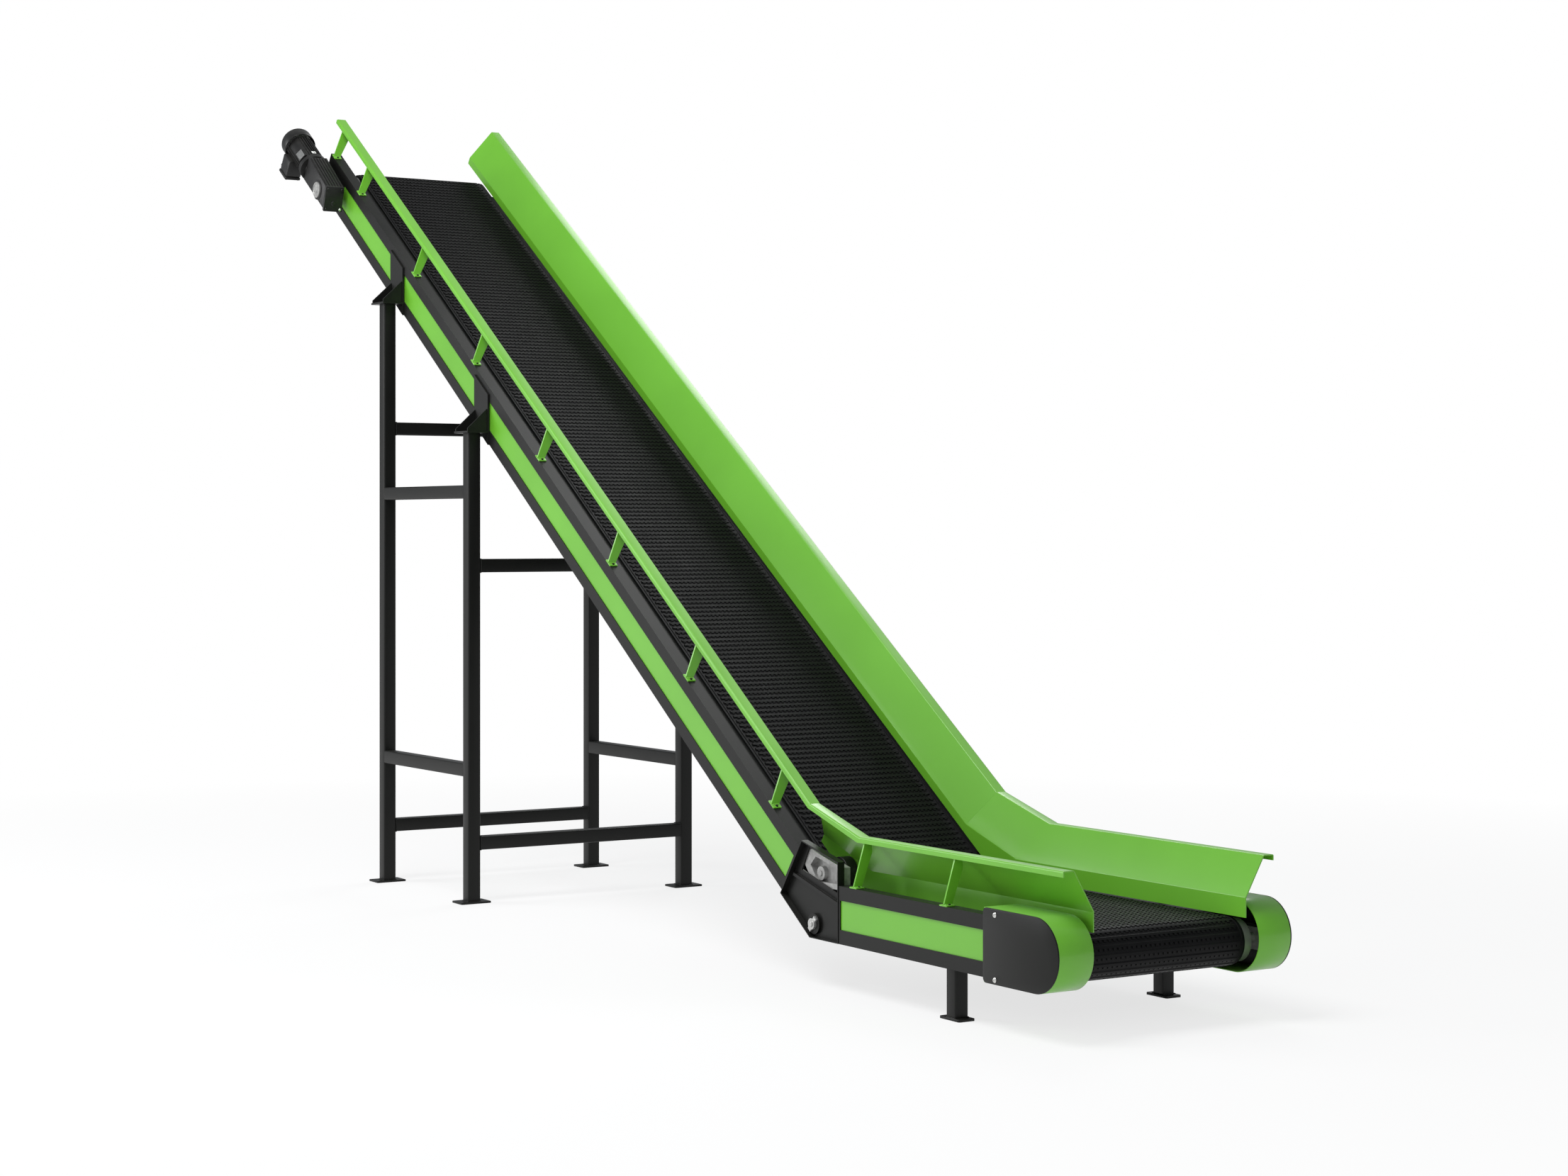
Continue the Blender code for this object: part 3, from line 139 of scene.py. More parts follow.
@dataclass(frozen=True)
class Finish:
    """A surface: its colour, how it shines, and the detail that breaks it up."""

    name: str
    colour: Point3
    roughness: float
    slot: str
    metallic: float = 0.0
    specular: float = 0.5
    coat: float = 0.0
    coat_roughness: float = 0.12
    mottle: float = 0.06
    mottle_scale: float = 3.0
    rough_swing: float = 0.06
    grain_scale: float = 420.0
    grain_strength: float = 0.12
    grain_depth: float = 0.0004
    dust: float = 0.0
    dust_colour: Point3 = (0.42, 0.41, 0.37)
    brushed: bool = False

    def material(self) -> bpy.types.Material:
        """The node material for this finish, made once."""
        found = bpy.data.materials.get(self.name)
        if found:
            return found
        made = bpy.data.materials.new(self.name)
        made.use_nodes = True
        tree = made.node_tree
        place = add(tree, "TexCoord", {}).outputs["Object"]
        stretched = place
        if self.brushed:
            lines = {"Vector": place, "Scale": (1.0, 0.04, 1.0)}
            stretched = add(tree, "Mapping", lines).outputs["Vector"]
        broad = self._noise(tree, place, self.mottle_scale, 4.0)
        fine = self._noise(tree, stretched, self.grain_scale, 3.0)
        colour = self._mottled(tree, broad)
        if self.dust > 0.0:
            colour = self._dusted(tree, colour, broad)
        relief = {"Strength": self.grain_strength, "Distance": self.grain_depth, "Height": fine}
        bump = add(tree, "Bump", relief)
        fill(tree, tree.nodes["Principled BSDF"], {
            "Metallic": self.metallic, "Specular IOR Level": self.specular,
            "Coat Weight": self.coat, "Coat Roughness": self.coat_roughness,
            "Base Color": colour, "Roughness": self._rough(tree, broad, fine),
            "Normal": bump.outputs["Normal"],
        })
        return made

    def _noise(
        self, tree: bpy.types.NodeTree, vector: bpy.types.NodeSocket, scale: float, detail: float
    ) -> bpy.types.NodeSocket:
        """A noise of that many cells a metre.

        Args:
            tree: the material's node tree.
            vector: the socket that gives the place on the surface.
            scale: cells per metre.
            detail: octaves of finer noise.

        Returns:
            The noise's value, from 0 to 1.
        """
        cells = {"Vector": vector, "Scale": scale, "Detail": detail, "Roughness": 0.55}
        return add(tree, "TexNoise", cells).outputs["Fac"]

    def _mottled(
        self, tree: bpy.types.NodeTree, broad: bpy.types.NodeSocket
    ) -> bpy.types.NodeSocket:
        """The finish's colour, a little darker and lighter from place to place.

        Args:
            tree: the material's node tree.
            broad: the broad noise.

        Returns:
            The colour.
        """
        ramp = add(tree, "ValToRGB", {"Fac": broad})
        shades = ((0.3, 1.0 - self.mottle), (0.7, 1.0 + self.mottle))
        for stop, (position, share) in zip(ramp.color_ramp.elements, shades):
            stop.position = position
            stop.color = (*(c * share for c in self.colour), 1.0)
        return ramp.outputs["Color"]

    def _dusted(
        self, tree: bpy.types.NodeTree, colour: bpy.types.NodeSocket, broad: bpy.types.NodeSocket
    ) -> bpy.types.NodeSocket:
        """The colour with a thin film of dust on faces that look up.

        Args:
            tree: the material's node tree.
            colour: the clean colour.
            broad: the broad noise, which makes the film patchy.

        Returns:
            The dusty colour.
        """
        split = add(tree, "SeparateXYZ", {"Vector": add(tree, "NewGeometry", {}).outputs["Normal"]})
        facing = {"Value": split.outputs["Z"], "From Min": 0.55, "To Max": self.dust}
        upward = add(tree, "MapRange", facing).outputs["Result"]
        film = add(tree, "Math", {0: upward, 1: broad}, operation="MULTIPLY").outputs["Value"]
        layers = {"Factor": film, "A": colour, "B": (*self.dust_colour, 1.0)}
        return add(tree, "Mix", layers, data_type="RGBA").outputs["Result"]

    def _rough(
        self, tree: bpy.types.NodeTree, broad: bpy.types.NodeSocket, fine: bpy.types.NodeSocket
    ) -> bpy.types.NodeSocket:
        """The roughness, which wanders with both noises.

        Args:
            tree: the material's node tree.
            broad: the broad noise.
            fine: the fine noise.

        Returns:
            The roughness.
        """
        both = add(tree, "Math", {0: broad, 1: fine}, operation="ADD").outputs["Value"]
        low, high = self.roughness - self.rough_swing, self.roughness + self.rough_swing
        swing = {"Value": both, "From Min": 0.6, "From Max": 1.4, "To Min": low, "To Max": high}
        return add(tree, "MapRange", swing).outputs["Result"]


GREEN = Finish(
    "lime enamel", (0.140, 0.450, 0.024), 0.36, "green_paint", coat=0.20, mottle=0.05,
    mottle_scale=1.6, grain_scale=260.0, grain_strength=0.05, dust=0.22,
    dust_colour=(0.55, 0.66, 0.40),
)
BLACK = Finish(
    "satin black powder coat", (0.0070, 0.0073, 0.0065), 0.40, "black_paint", specular=0.24,
    mottle=0.12, grain_scale=900.0, grain_strength=0.25, grain_depth=0.0003, dust=0.04,
)
RUBBER = Finish(
    "belt rubber", (0.0046, 0.0046, 0.0048), 0.50, "belt_rubber", specular=0.13, mottle=0.25,
    mottle_scale=9.0, rough_swing=0.1, grain_scale=700.0, grain_strength=0.3, dust=0.01,
)
STEEL = Finish(
    "turned steel", (0.55, 0.55, 0.54), 0.36, "bare_steel", metallic=0.72, mottle=0.08,
    mottle_scale=14.0, grain_scale=900.0, grain_strength=0.2, brushed=True,
)
ZINC = Finish(
    "zinc plating", (0.62, 0.62, 0.60), 0.30, "bare_steel", metallic=1.0, mottle=0.10,
    mottle_scale=60.0, grain_scale=1200.0, grain_strength=0.15,
)
CAST = Finish(
    "cast grey iron", (0.36, 0.36, 0.35), 0.48, "cast_grey", metallic=0.55, mottle=0.22,
    mottle_scale=45.0, rough_swing=0.12, grain_scale=320.0, grain_strength=0.7,
    grain_depth=0.0012,
)
ENAMEL = Finish(
    "motor enamel", (0.0100, 0.0099, 0.0097), 0.36, "motor_enamel", specular=0.36, mottle=0.15,
    mottle_scale=20.0, grain_scale=380.0, grain_strength=0.45, grain_depth=0.0008, dust=0.12,
)
PLASTIC = Finish(
    "black polyamide", (0.010, 0.010, 0.010), 0.42, "black_plastic", grain_scale=1500.0,
)
# Painted shade: the hold-down wheels are bare steel, made nearly black here to stand for the shade
# they sit in behind the bend plate's window.
SHADED_STEEL = Finish(
    "oiled black steel", (0.030, 0.030, 0.029), 0.42, "bare_steel", metallic=0.5, mottle=0.15,
    mottle_scale=30.0, grain_scale=900.0, grain_strength=0.2,
)
LABEL = Finish("bare white label", (0.72, 0.72, 0.70), 0.45, "bare_steel", mottle=0.03)
WELD_GREEN = Finish(
    "painted green weld", (0.20, 0.52, 0.055), 0.30, "green_paint", coat=0.25, mottle=0.08,
    mottle_scale=80.0, grain_scale=300.0, grain_strength=0.5, grain_depth=0.0008,
)
BY_SLOT = {
    "green_paint": GREEN, "black_paint": BLACK, "belt_rubber": RUBBER, "bare_steel": STEEL,
    "cast_grey": CAST, "motor_enamel": ENAMEL, "black_plastic": PLASTIC,
}


# ---- meshes -------------------------------------------------------------------------
def ring(radius: float, count: int, phase: float = 0.0) -> list[Point2]:
    """Points round a circle.

    Args:
        radius: the circle's radius.
        count: how many points.
        phase: turn of the first point, in radians.

    Returns:
        The points, anticlockwise.
    """
    turns = (phase + 2.0 * math.pi * i / count for i in range(count))
    return [(radius * math.cos(t), radius * math.sin(t)) for t in turns]


def arc(centre: Point2, radius: float, start: float, sweep: float, steps: int) -> list[Point2]:
    """Points along an arc.

    Args:
        centre: the arc's centre.
        radius: its radius.
        start: where it starts, in degrees.
        sweep: how far it turns, in degrees.
        steps: its chords.

    Returns:
        The points, from the start to the end.
    """
    turns = (math.radians(start + sweep * i / steps) for i in range(steps + 1))
    return [(centre[0] + radius * math.cos(t), centre[1] + radius * math.sin(t)) for t in turns]


def rectangle(length: float, width: float) -> list[Point2]:
    """The four corners of a rectangle about its middle."""
    u, v = length / 2.0, width / 2.0
    return [(-u, -v), (u, -v), (u, v), (-u, v)]


def along(start: float, *profile: Point2) -> list[Point2]:
    """A turned profile whose places along the axis are counted from a start."""
    return [(radius, start + place) for radius, place in profile]


def mirrored(profile: Sequence[Point2]) -> list[Point2]:
    """A turned profile and its reflection, joined at the middle."""
    return [*profile, *((radius, -place) for radius, place in reversed(profile))]


def rounded(line: Sequence[Point2], radius: float, steps: int, closed: bool) -> list[Point2]:
    """A line whose corners are turned into arcs.

    Args:
        line: the corners, in order.
        radius: the arcs' radius.
        steps: chords in each arc.
        closed: whether the last corner joins the first.

    Returns:
        The line with an arc of points at each corner.
    """
    points: list[Point2] = []
    count = len(line)
    for i, corner in enumerate(line):
        if not closed and i in (0, count - 1):
            points.append(corner)
            continue
        here = Vector(corner)
        before = (Vector(line[i - 1]) - here).normalized()
        after = (Vector(line[(i + 1) % count]) - here).normalized()
        half = before.angle(after) / 2.0
        reach = radius / math.tan(half)
        centre = here + (before + after).normalized() * (radius / math.sin(half))
        start, end = here + before * reach - centre, here + after * reach - centre
        turn = start.angle_signed(end)
        for step in range(steps + 1):
            spoke = start.copy()
            spoke.rotate(Matrix.Rotation(-turn * step / steps, 2))
            points.append(tuple(centre + spoke))
    return points


def sheet(line: Sequence[Point2], thickness: float) -> list[Point2]:
    """The outline of a bent sheet.

    Args:
        line: the sheet's face, corner by corner.
        thickness: how far the other face lies, to the right of the line.

    Returns:
        A closed outline round both faces.
    """
    other: list[Point2] = []
    for i, point in enumerate(line):
        normals = []
        for a, b in ((i - 1, i), (i, i + 1)):
            if 0 <= a and b < len(line):
                way = (Vector(line[b]) - Vector(line[a])).normalized()
                normals.append(Vector((way.y, -way.x)))
        mitre = sum(normals, Vector((0.0, 0.0))).normalized()
        other.append(tuple(Vector(point) + mitre * (thickness / mitre.dot(normals[0]))))
    return [*line, *reversed(other)]


class Solid:
    """A piece under way: closed shapes gathered in one mesh, each with its finish."""

    def __init__(self, name: str) -> None:
        """Starts an empty piece of that name."""
        self.name = name
        self.mesh = bmesh.new()
        self.finishes: list[Finish] = []

    def _dress(self, faces: Sequence[bmesh.types.BMFace], finish: Finish) -> None:
        """Gives the faces a finish, adding it to the piece if it is new."""
        if finish not in self.finishes:
            self.finishes.append(finish)
        index = self.finishes.index(finish)
        for face in faces:
            face.material_index = index

    def loft(
        self, loops: Sequence[Loop], finish: Finish, at: Matrix, endless: bool = False
    ) -> "Solid":
        """Adds a closed shape through loops of as many points each.

        Args:
            loops: the cross-sections, in order.
            finish: the shape's finish.
            at: the matrix from the loops' coordinates to the machine's.
            endless: whether the last loop joins the first, so that no end is capped.

        Returns:
            The piece itself.
        """
        rings = [[self.mesh.verts.new(at @ Vector(p)) for p in loop] for loop in loops]
        pairs = list(zip(rings, rings[1:]))
        if endless:
            pairs.append((rings[-1], rings[0]))
        faces = []
        for first, second in pairs:
            for i in range(len(first)):
                j = (i + 1) % len(first)
                faces.append(self.mesh.faces.new((first[i], first[j], second[j], second[i])))
        if not endless:
            faces.append(self.mesh.faces.new(rings[0][::-1]))
            faces.append(self.mesh.faces.new(rings[-1]))
        self._dress(faces, finish)
        return self

    def turn(
        self, profile: Sequence[Point2], finish: Finish, at: Matrix, axis: Axis,
        sides: int = 48, phase: float = 0.0,
    ) -> "Solid":
        """Adds a turned shape.

        Args:
            profile: (radius, place along the axis), closed on itself or ending on the axis.
            finish: the shape's finish.
            at: the matrix that places the shape's own origin.
            axis: the axis it is turned about.
            sides: chords round the axis.
            phase: turn of the first chord, in radians.

        Returns:
            The piece itself.
        """
        solid = profile[0][0] == 0.0
        rings = []
        for radius, reach in profile:
            points = ring(radius, sides, phase) if radius > 0.0 else [(0.0, 0.0)]
            spots = (self._spun(u, v, reach, axis) for u, v in points)
            rings.append([self.mesh.verts.new(at @ spot) for spot in spots])
        pairs = list(zip(rings, rings[1:]))
        if not solid:
            pairs.append((rings[-1], rings[0]))
        faces = []
        for first, second in pairs:
            for i in range(sides):
                j = (i + 1) % sides
                corners = [first[i % len(first)], first[j % len(first)]]
                corners += [second[j % len(second)], second[i % len(second)]]
                unique = list(dict.fromkeys(corners))
                if len(unique) > 2:
                    faces.append(self.mesh.faces.new(unique))
        self._dress(faces, finish)
        return self

    @staticmethod
    def _spun(u: float, v: float, reach: float, axis: Axis) -> Vector:
        """A turned point in the coordinates of the axis it is turned about."""
        return Vector(((reach, u, v), (u, reach, v), (u, v, reach))[axis.value])

    def block(
        self, low: Point3, high: Point3, finish: Finish, at: Matrix, bevel: float = 0.0015,
        steps: int = 2,
    ) -> "Solid":
        """Adds a block with eased edges.

        Args:
            low: its lowest corner.
            high: its highest corner.
            finish: its finish.
            at: the matrix from the block's coordinates to the machine's.
            bevel: how far its edges are eased.
            steps: chords across an eased edge.

        Returns:
            The piece itself.
        """
        span = [b - a for a, b in zip(low, high)]
        middle = [(a + b) / 2.0 for a, b in zip(low, high)]
        matrix = Matrix.Translation(middle) @ Matrix.Diagonal((*span, 1.0))
        verts = bmesh.ops.create_cube(self.mesh, size=1.0, matrix=matrix)["verts"]
        edges = list(dict.fromkeys(edge for vert in verts for edge in vert.link_edges))
        ease = min(bevel, min(abs(v) for v in span) * 0.45)
        eased = bmesh.ops.bevel(
            self.mesh, geom=edges, offset=ease, segments=steps, profile=0.5, affect="EDGES"
        )
        verts = list(dict.fromkeys(vert for face in eased["faces"] for vert in face.verts))
        bmesh.ops.transform(self.mesh, matrix=at, verts=verts)
        self._dress([face for vert in verts for face in vert.link_faces], finish)
        return self

    def slab(
        self, outline: Sequence[Point2], low: float, high: float, ease: float, finish: Finish,
        at: Matrix,
    ) -> "Solid":
        """Adds a plate that lies along a run, the edge of its outer face eased.

        Args:
            outline: the plate's outline, in s and n.
            low: w of its inner face.
            high: w of its outer face.
            ease: how far the outer edge is eased.
            finish: its finish.
            at: the matrix from the run's coordinates to the machine's.

        Returns:
            The piece itself.
        """
        middle = Vector((sum(s for s, _ in outline), sum(n for _, n in outline))) / len(outline)
        loops = []
        steps = ((low, 0.0), (high - ease, 0.0), (high - 0.3 * ease, 0.3 * ease), (high, ease))
        for w, inset in steps:
            loop = []
            for place in outline:
                away = Vector(place) - middle
                spot = middle + away * (1.0 - inset / away.length)
                loop.append((spot.x, w, spot.y))
            loops.append(loop)
        return self.loft(loops, finish, at)

    def bolt(
        self, seat: Point3, size: float, finish: Finish, at: Matrix, axis: Axis, way: float
    ) -> "Solid":
        """Adds a hexagon head on a washer.

        Args:
            seat: the middle of the washer's underside.
            size: the bolt's thread diameter.
            finish: its finish.
            at: the matrix from the seat's coordinates to the machine's.
            axis: the axis the bolt stands along.
            way: 1 or -1, which way along the axis the head faces.

        Returns:
            The piece itself.
        """
        here = at @ Matrix.Translation(seat)
        washer, head = size * 0.16, size * 0.65
        disc = [(0.0, 0.0), (size * 1.05, 0.0), (size * 1.05, washer), (0.0, washer)]
        hexed = [(0.0, washer * 0.5), (size * 0.92, washer * 0.5), (size * 0.92, washer + head * 0.8)]
        hexed += [(size * 0.78, washer + head), (0.0, washer + head)]
        self.turn([(r, a * way) for r, a in disc], finish, here, axis, 24)
        self.turn([(r, a * way) for r, a in hexed], finish, here, axis, 6, 0.3)
        return self

    def bead(self, path: Sequence[Point3], radius: float, finish: Finish, at: Matrix) -> "Solid":
        """Adds a weld bead with its ripples.

        Args:
            path: the corners that the bead runs through.
            radius: the bead's radius.
            finish: its finish.
            at: the matrix from the path's coordinates to the machine's.

        Returns:
            The piece itself.
        """
        places: list[Vector] = []
        for a, b in zip(path, path[1:]):
            first, last = Vector(a), Vector(b)
            count = max(2, round((last - first).length / (radius * 0.8)))
            places += [first.lerp(last, i / count) for i in range(count)]
        places.append(Vector(path[-1]))
        loops = []
        for i, place in enumerate(places):
            way = (places[min(i + 1, len(places) - 1)] - places[max(i - 1, 0)]).normalized()
            across = way.orthogonal().normalized()
            up = way.cross(across)
            swell = radius * (1.0 + 0.16 * math.sin(i * 2.1) + 0.06 * math.sin(i * 5.3))
            if i in (0, len(places) - 1):
                swell *= 0.5
            loops.append([tuple(place + across * u * swell + up * v * swell) for u, v in ring(1.0, 6)])
        return self.loft(loops, finish, at)

    def build(self, body: str, replaces: Sequence[str] = (), slot: str = "") -> bpy.types.Object:
        """Makes the piece and sets it riding.

        Args:
            body: the frame's body that it moves with.
            replaces: the frame's nodes that it stands for.
            slot: not used.

        Returns:
            The piece.
        """
        bmesh.ops.recalc_face_normals(self.mesh, faces=self.mesh.faces)
        mesh = bpy.data.meshes.new(self.name)
        self.mesh.to_mesh(mesh)
        self.mesh.free()
        for finish in self.finishes:
            mesh.materials.append(finish.material())
        mesh.shade_smooth()
        mesh.set_sharp_from_angle(angle=SHARP)
        made = bpy.data.objects.new(self.name, mesh)
        bpy.context.scene.collection.objects.link(made)
        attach(made, body)
        if replaces:
            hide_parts(*replaces)
        log.info("%s: %d faces, rides on %s", self.name, len(mesh.polygons), body)
        return made


# ---- the machine's lines ------------------------------------------------------------
@dataclass
class Lines:
    """Where the two runs meet, and the matrices from their coordinates to the machine's."""

    frame: dict
    panel_end: float = 0.115  # infeed panel's end before the bend
    panel_drop: float = 0.050  # infeed panel's top below the frame's top edge
    knee: Vector = field(init=False)
    tilt: float = field(init=False)

    def __post_init__(self) -> None:
        """Reads the bend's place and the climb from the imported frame."""
        _, panel_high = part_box("infill_panel_infeed_left")
        belt_low, belt_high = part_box("conveyor_belt")
        middle = (belt_low.y + belt_high.y) / 2.0
        self.knee = Vector((panel_high.x + self.panel_end, middle, panel_high.z + self.panel_drop))
        axis = self.joint("motor_spin")["axis"]
        self.tilt = math.atan2(axis[2], axis[0])

    def joint(self, name: str) -> dict:
        """The frame's joint of that name."""
        return next(j for j in self.frame["joints"] if j["name"] == name)

    def at_joint(self, name: str) -> Vector:
        """The place of that joint's axis."""
        return Vector(self.joint(name)["pos_m"])

    def level(self, side: Side = Side.LEFT) -> Matrix:
        """From the infeed's s, w and n to the machine, turned over for the right side."""
        return Matrix.Translation(self.knee) @ Matrix.Diagonal((1.0, side.value, 1.0, 1.0))

    def climb(self, side: Side = Side.LEFT) -> Matrix:
        """From the climb's s, w and n to the machine, turned over for the right side."""
        rise = Matrix.Rotation(-self.tilt, 4, "Y")
        return Matrix.Translation(self.knee) @ rise @ Matrix.Diagonal((1.0, side.value, 1.0, 1.0))

    def floor(self, side: Side = Side.LEFT) -> Matrix:
        """From x past the bend, w and height above the floor to the machine."""
        foot = Vector((self.knee.x, self.knee.y, 0.0))
        return Matrix.Translation(foot) @ Matrix.Diagonal((1.0, side.value, 1.0, 1.0))


# ---- belt ---------------------------------------------------------------------------
@dataclass
class GripBelt:
    """The endless belt: a carcass with smooth borders and rows of toothed grip bars."""

    lines: Lines
    thickness: float = 0.012
    grip: float = 0.004
    clear: float = 0.001
    pitch: float = 0.034
    grip_half_width: float = 0.373
    tooth_pitch: float = 0.0233
    tooth_share: float = 0.56
    bar_length: float = 0.010
    tooth_length: float = 0.009
    ramp_length: float = 0.006
    tooth_start: float = 0.22  # in tooth pitches
    tooth_fall: Point2 = (0.0012, 0.0002)  # below a bar's top, at the tooth's tip and root
    sunk: float = 0.0006  # how deep the bars sit in the carcass
    border: Point2 = (0.012, 0.018)  # the border bead's two sides, in from the belt's edge
    border_rise: float = 0.002
    ease: float = 0.001
    arc_step: float = math.radians(4.0)

    def _wheels(self) -> list[tuple[Point2, float]]:
        """Centre in x and z and radius of each wheel, negative for one outside the loop."""
        order = (
            ("tail_drum", 1), ("knee_hold_down_wheel_left", -1), ("head_drum", 1),
            ("snub_roller", -1), ("return_roller_upper", -1), ("return_roller_lower", -1),
            ("knee_bend_roller", 1),
        )
        wheels = []
        for node, sign in order:
            low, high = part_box(node)
            reach = (high.z - low.z) / 2.0 + self.clear + self.thickness / 2.0
            wheels.append((((low.x + high.x) / 2.0, (low.z + high.z) / 2.0), sign * reach))
        return wheels

    def _line(self) -> BeltLine:
        """Points along the middle layer, with the outward normal and the distance run."""
        wheels = self._wheels()
        headings = []
        for i, (centre, radius) in enumerate(wheels):
            other, following = wheels[(i + 1) % len(wheels)]
            gap = Vector(other) - Vector(centre)
            headings.append(math.atan2(gap.y, gap.x) + math.asin((following - radius) / gap.length))
        line: BeltLine = []
        run = 0.0
        for i, (centre, radius) in enumerate(wheels):
            turn = (headings[i] - headings[i - 1] + math.pi) % (2.0 * math.pi) - math.pi
            if radius > 0.0 and turn > 0.0:
                turn -= 2.0 * math.pi
            steps = max(1, math.ceil(abs(turn) / self.arc_step))
            for step in range(steps + 1):
                heading = headings[i - 1] + turn * step / steps
                normal = Vector((-math.sin(heading), math.cos(heading)))
                place = Vector(centre) + normal * radius
                if line:
                    run += (place - line[-1][0]).length
                line.append((place, normal, run))
        return line

    def _section(self) -> list[Point2]:
        """The carcass across the belt: w and height over the middle layer."""
        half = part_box("conveyor_belt")[1].y - self.lines.knee.y
        low, top = -self.thickness / 2.0, self.thickness / 2.0 - self.grip
        bead_out, bead_in = (half - inset for inset in self.border)
        ease, crest = self.ease, top + self.border_rise
        edge = [(half, low + ease), (half, top - 1.5 * ease), (half - 2.0 * ease, top)]
        edge += [(bead_out, top), (bead_out - ease, crest), (bead_in + ease, crest), (bead_in, top)]
        other = [(-w, n) for w, n in reversed(edge)]
        return [*edge, *other, (-half + ease, low), (half - ease, low)]

    def build(self) -> None:
        """Makes the belt and hides the frame's plain band."""
        line = self._line()
        belt = Solid("grip_belt")
        middle = self.lines.knee.y
        section = self._section()
        loops = []
        for place, normal, _ in line:
            loop = []
            for w, n in section:
                spot = place + normal * n
                loop.append((spot.x, middle + w, spot.y))
            loops.append(loop)
        belt.loft(loops, RUBBER, MACHINE, endless=True)
        total = line[-1][2] + (line[0][0] - line[-1][0]).length
        count = round(total / self.pitch)
        index = 0
        for row in range(count):
            index = self._row(belt, line, total, total * row / count, row % 2, index)
        belt.build("frame", ["conveyor_belt"])

    @staticmethod
    def _at(line: BeltLine, total: float, run: float, start: int) -> tuple[Vector, Vector, int]:
        """Finds a place along the belt.

        Args:
            line: the belt's middle layer.
            total: the belt's length.
            run: the distance along the belt.
            start: where in the line to look from.

        Returns:
            The middle layer's place and normal there, and where in the line it was found.
        """
        run %= total
        i = start if line[start][2] <= run else 0
        while i + 1 < len(line) and line[i + 1][2] <= run:
            i += 1
        place, normal, here = line[i]
        after, after_normal, there = line[(i + 1) % len(line)]
        there = there if i + 1 < len(line) else total
        share = (run - here) / max(there - here, 1e-9)
        return place.lerp(after, share), normal.lerp(after_normal, share).normalized(), i

    def _row(
        self, belt: Solid, line: BeltLine, total: float, run: float, odd: int, start: int
    ) -> int:
        """Adds one bar across the belt, with the teeth along its trailing edge.

        Args:
            belt: the piece under way.
            line: the belt's middle layer.
            total: the belt's length.
            run: the row's distance along the belt.
            odd: 1 where the row's teeth are set over by half a pitch.
            start: where in the line to look from.

        Returns:
            Where in the line this row was found.
        """
        half, middle = self.thickness / 2.0, self.lines.knee.y
        base, top = half - self.grip - self.sunk, half
        marks = (0.0, self.tooth_length, self.tooth_length + self.bar_length)
        marks += (marks[-1] + self.ramp_length,)
        spots = []
        for mark in marks:
            place, normal, start = self._at(line, total, run + mark, start)
            spots.append((place, normal))

        def corner(k: int, w: float, n: float) -> Point3:
            """A corner at mark k, w from the middle and n over the middle layer."""
            spot = spots[k][0] + spots[k][1] * n
            return (spot.x, middle + w, spot.y)

        reach = self.grip_half_width
        ends = []
        for w in (-reach, reach):
            ends.append([corner(1, w, base), corner(1, w, top), corner(2, w, top), corner(3, w, base)])
        belt.loft(ends, RUBBER, MACHINE)
        count = int(2.0 * reach / self.tooth_pitch)
        first = -reach + (2.0 * reach - count * self.tooth_pitch) / 2.0
        wide = self.tooth_pitch * self.tooth_share
        tip, root = (top - fall for fall in self.tooth_fall)
        for i in range(count - odd):
            w0 = first + self.tooth_pitch * (i + self.tooth_start + 0.5 * odd)
            tooth = []
            for w in (w0, w0 + wide):
                lead = corner(0, w, base), corner(0, w, tip)
                tooth.append([*lead, corner(1, w, root), corner(1, w, base)])
            belt.loft(tooth, RUBBER, MACHINE)
        return start


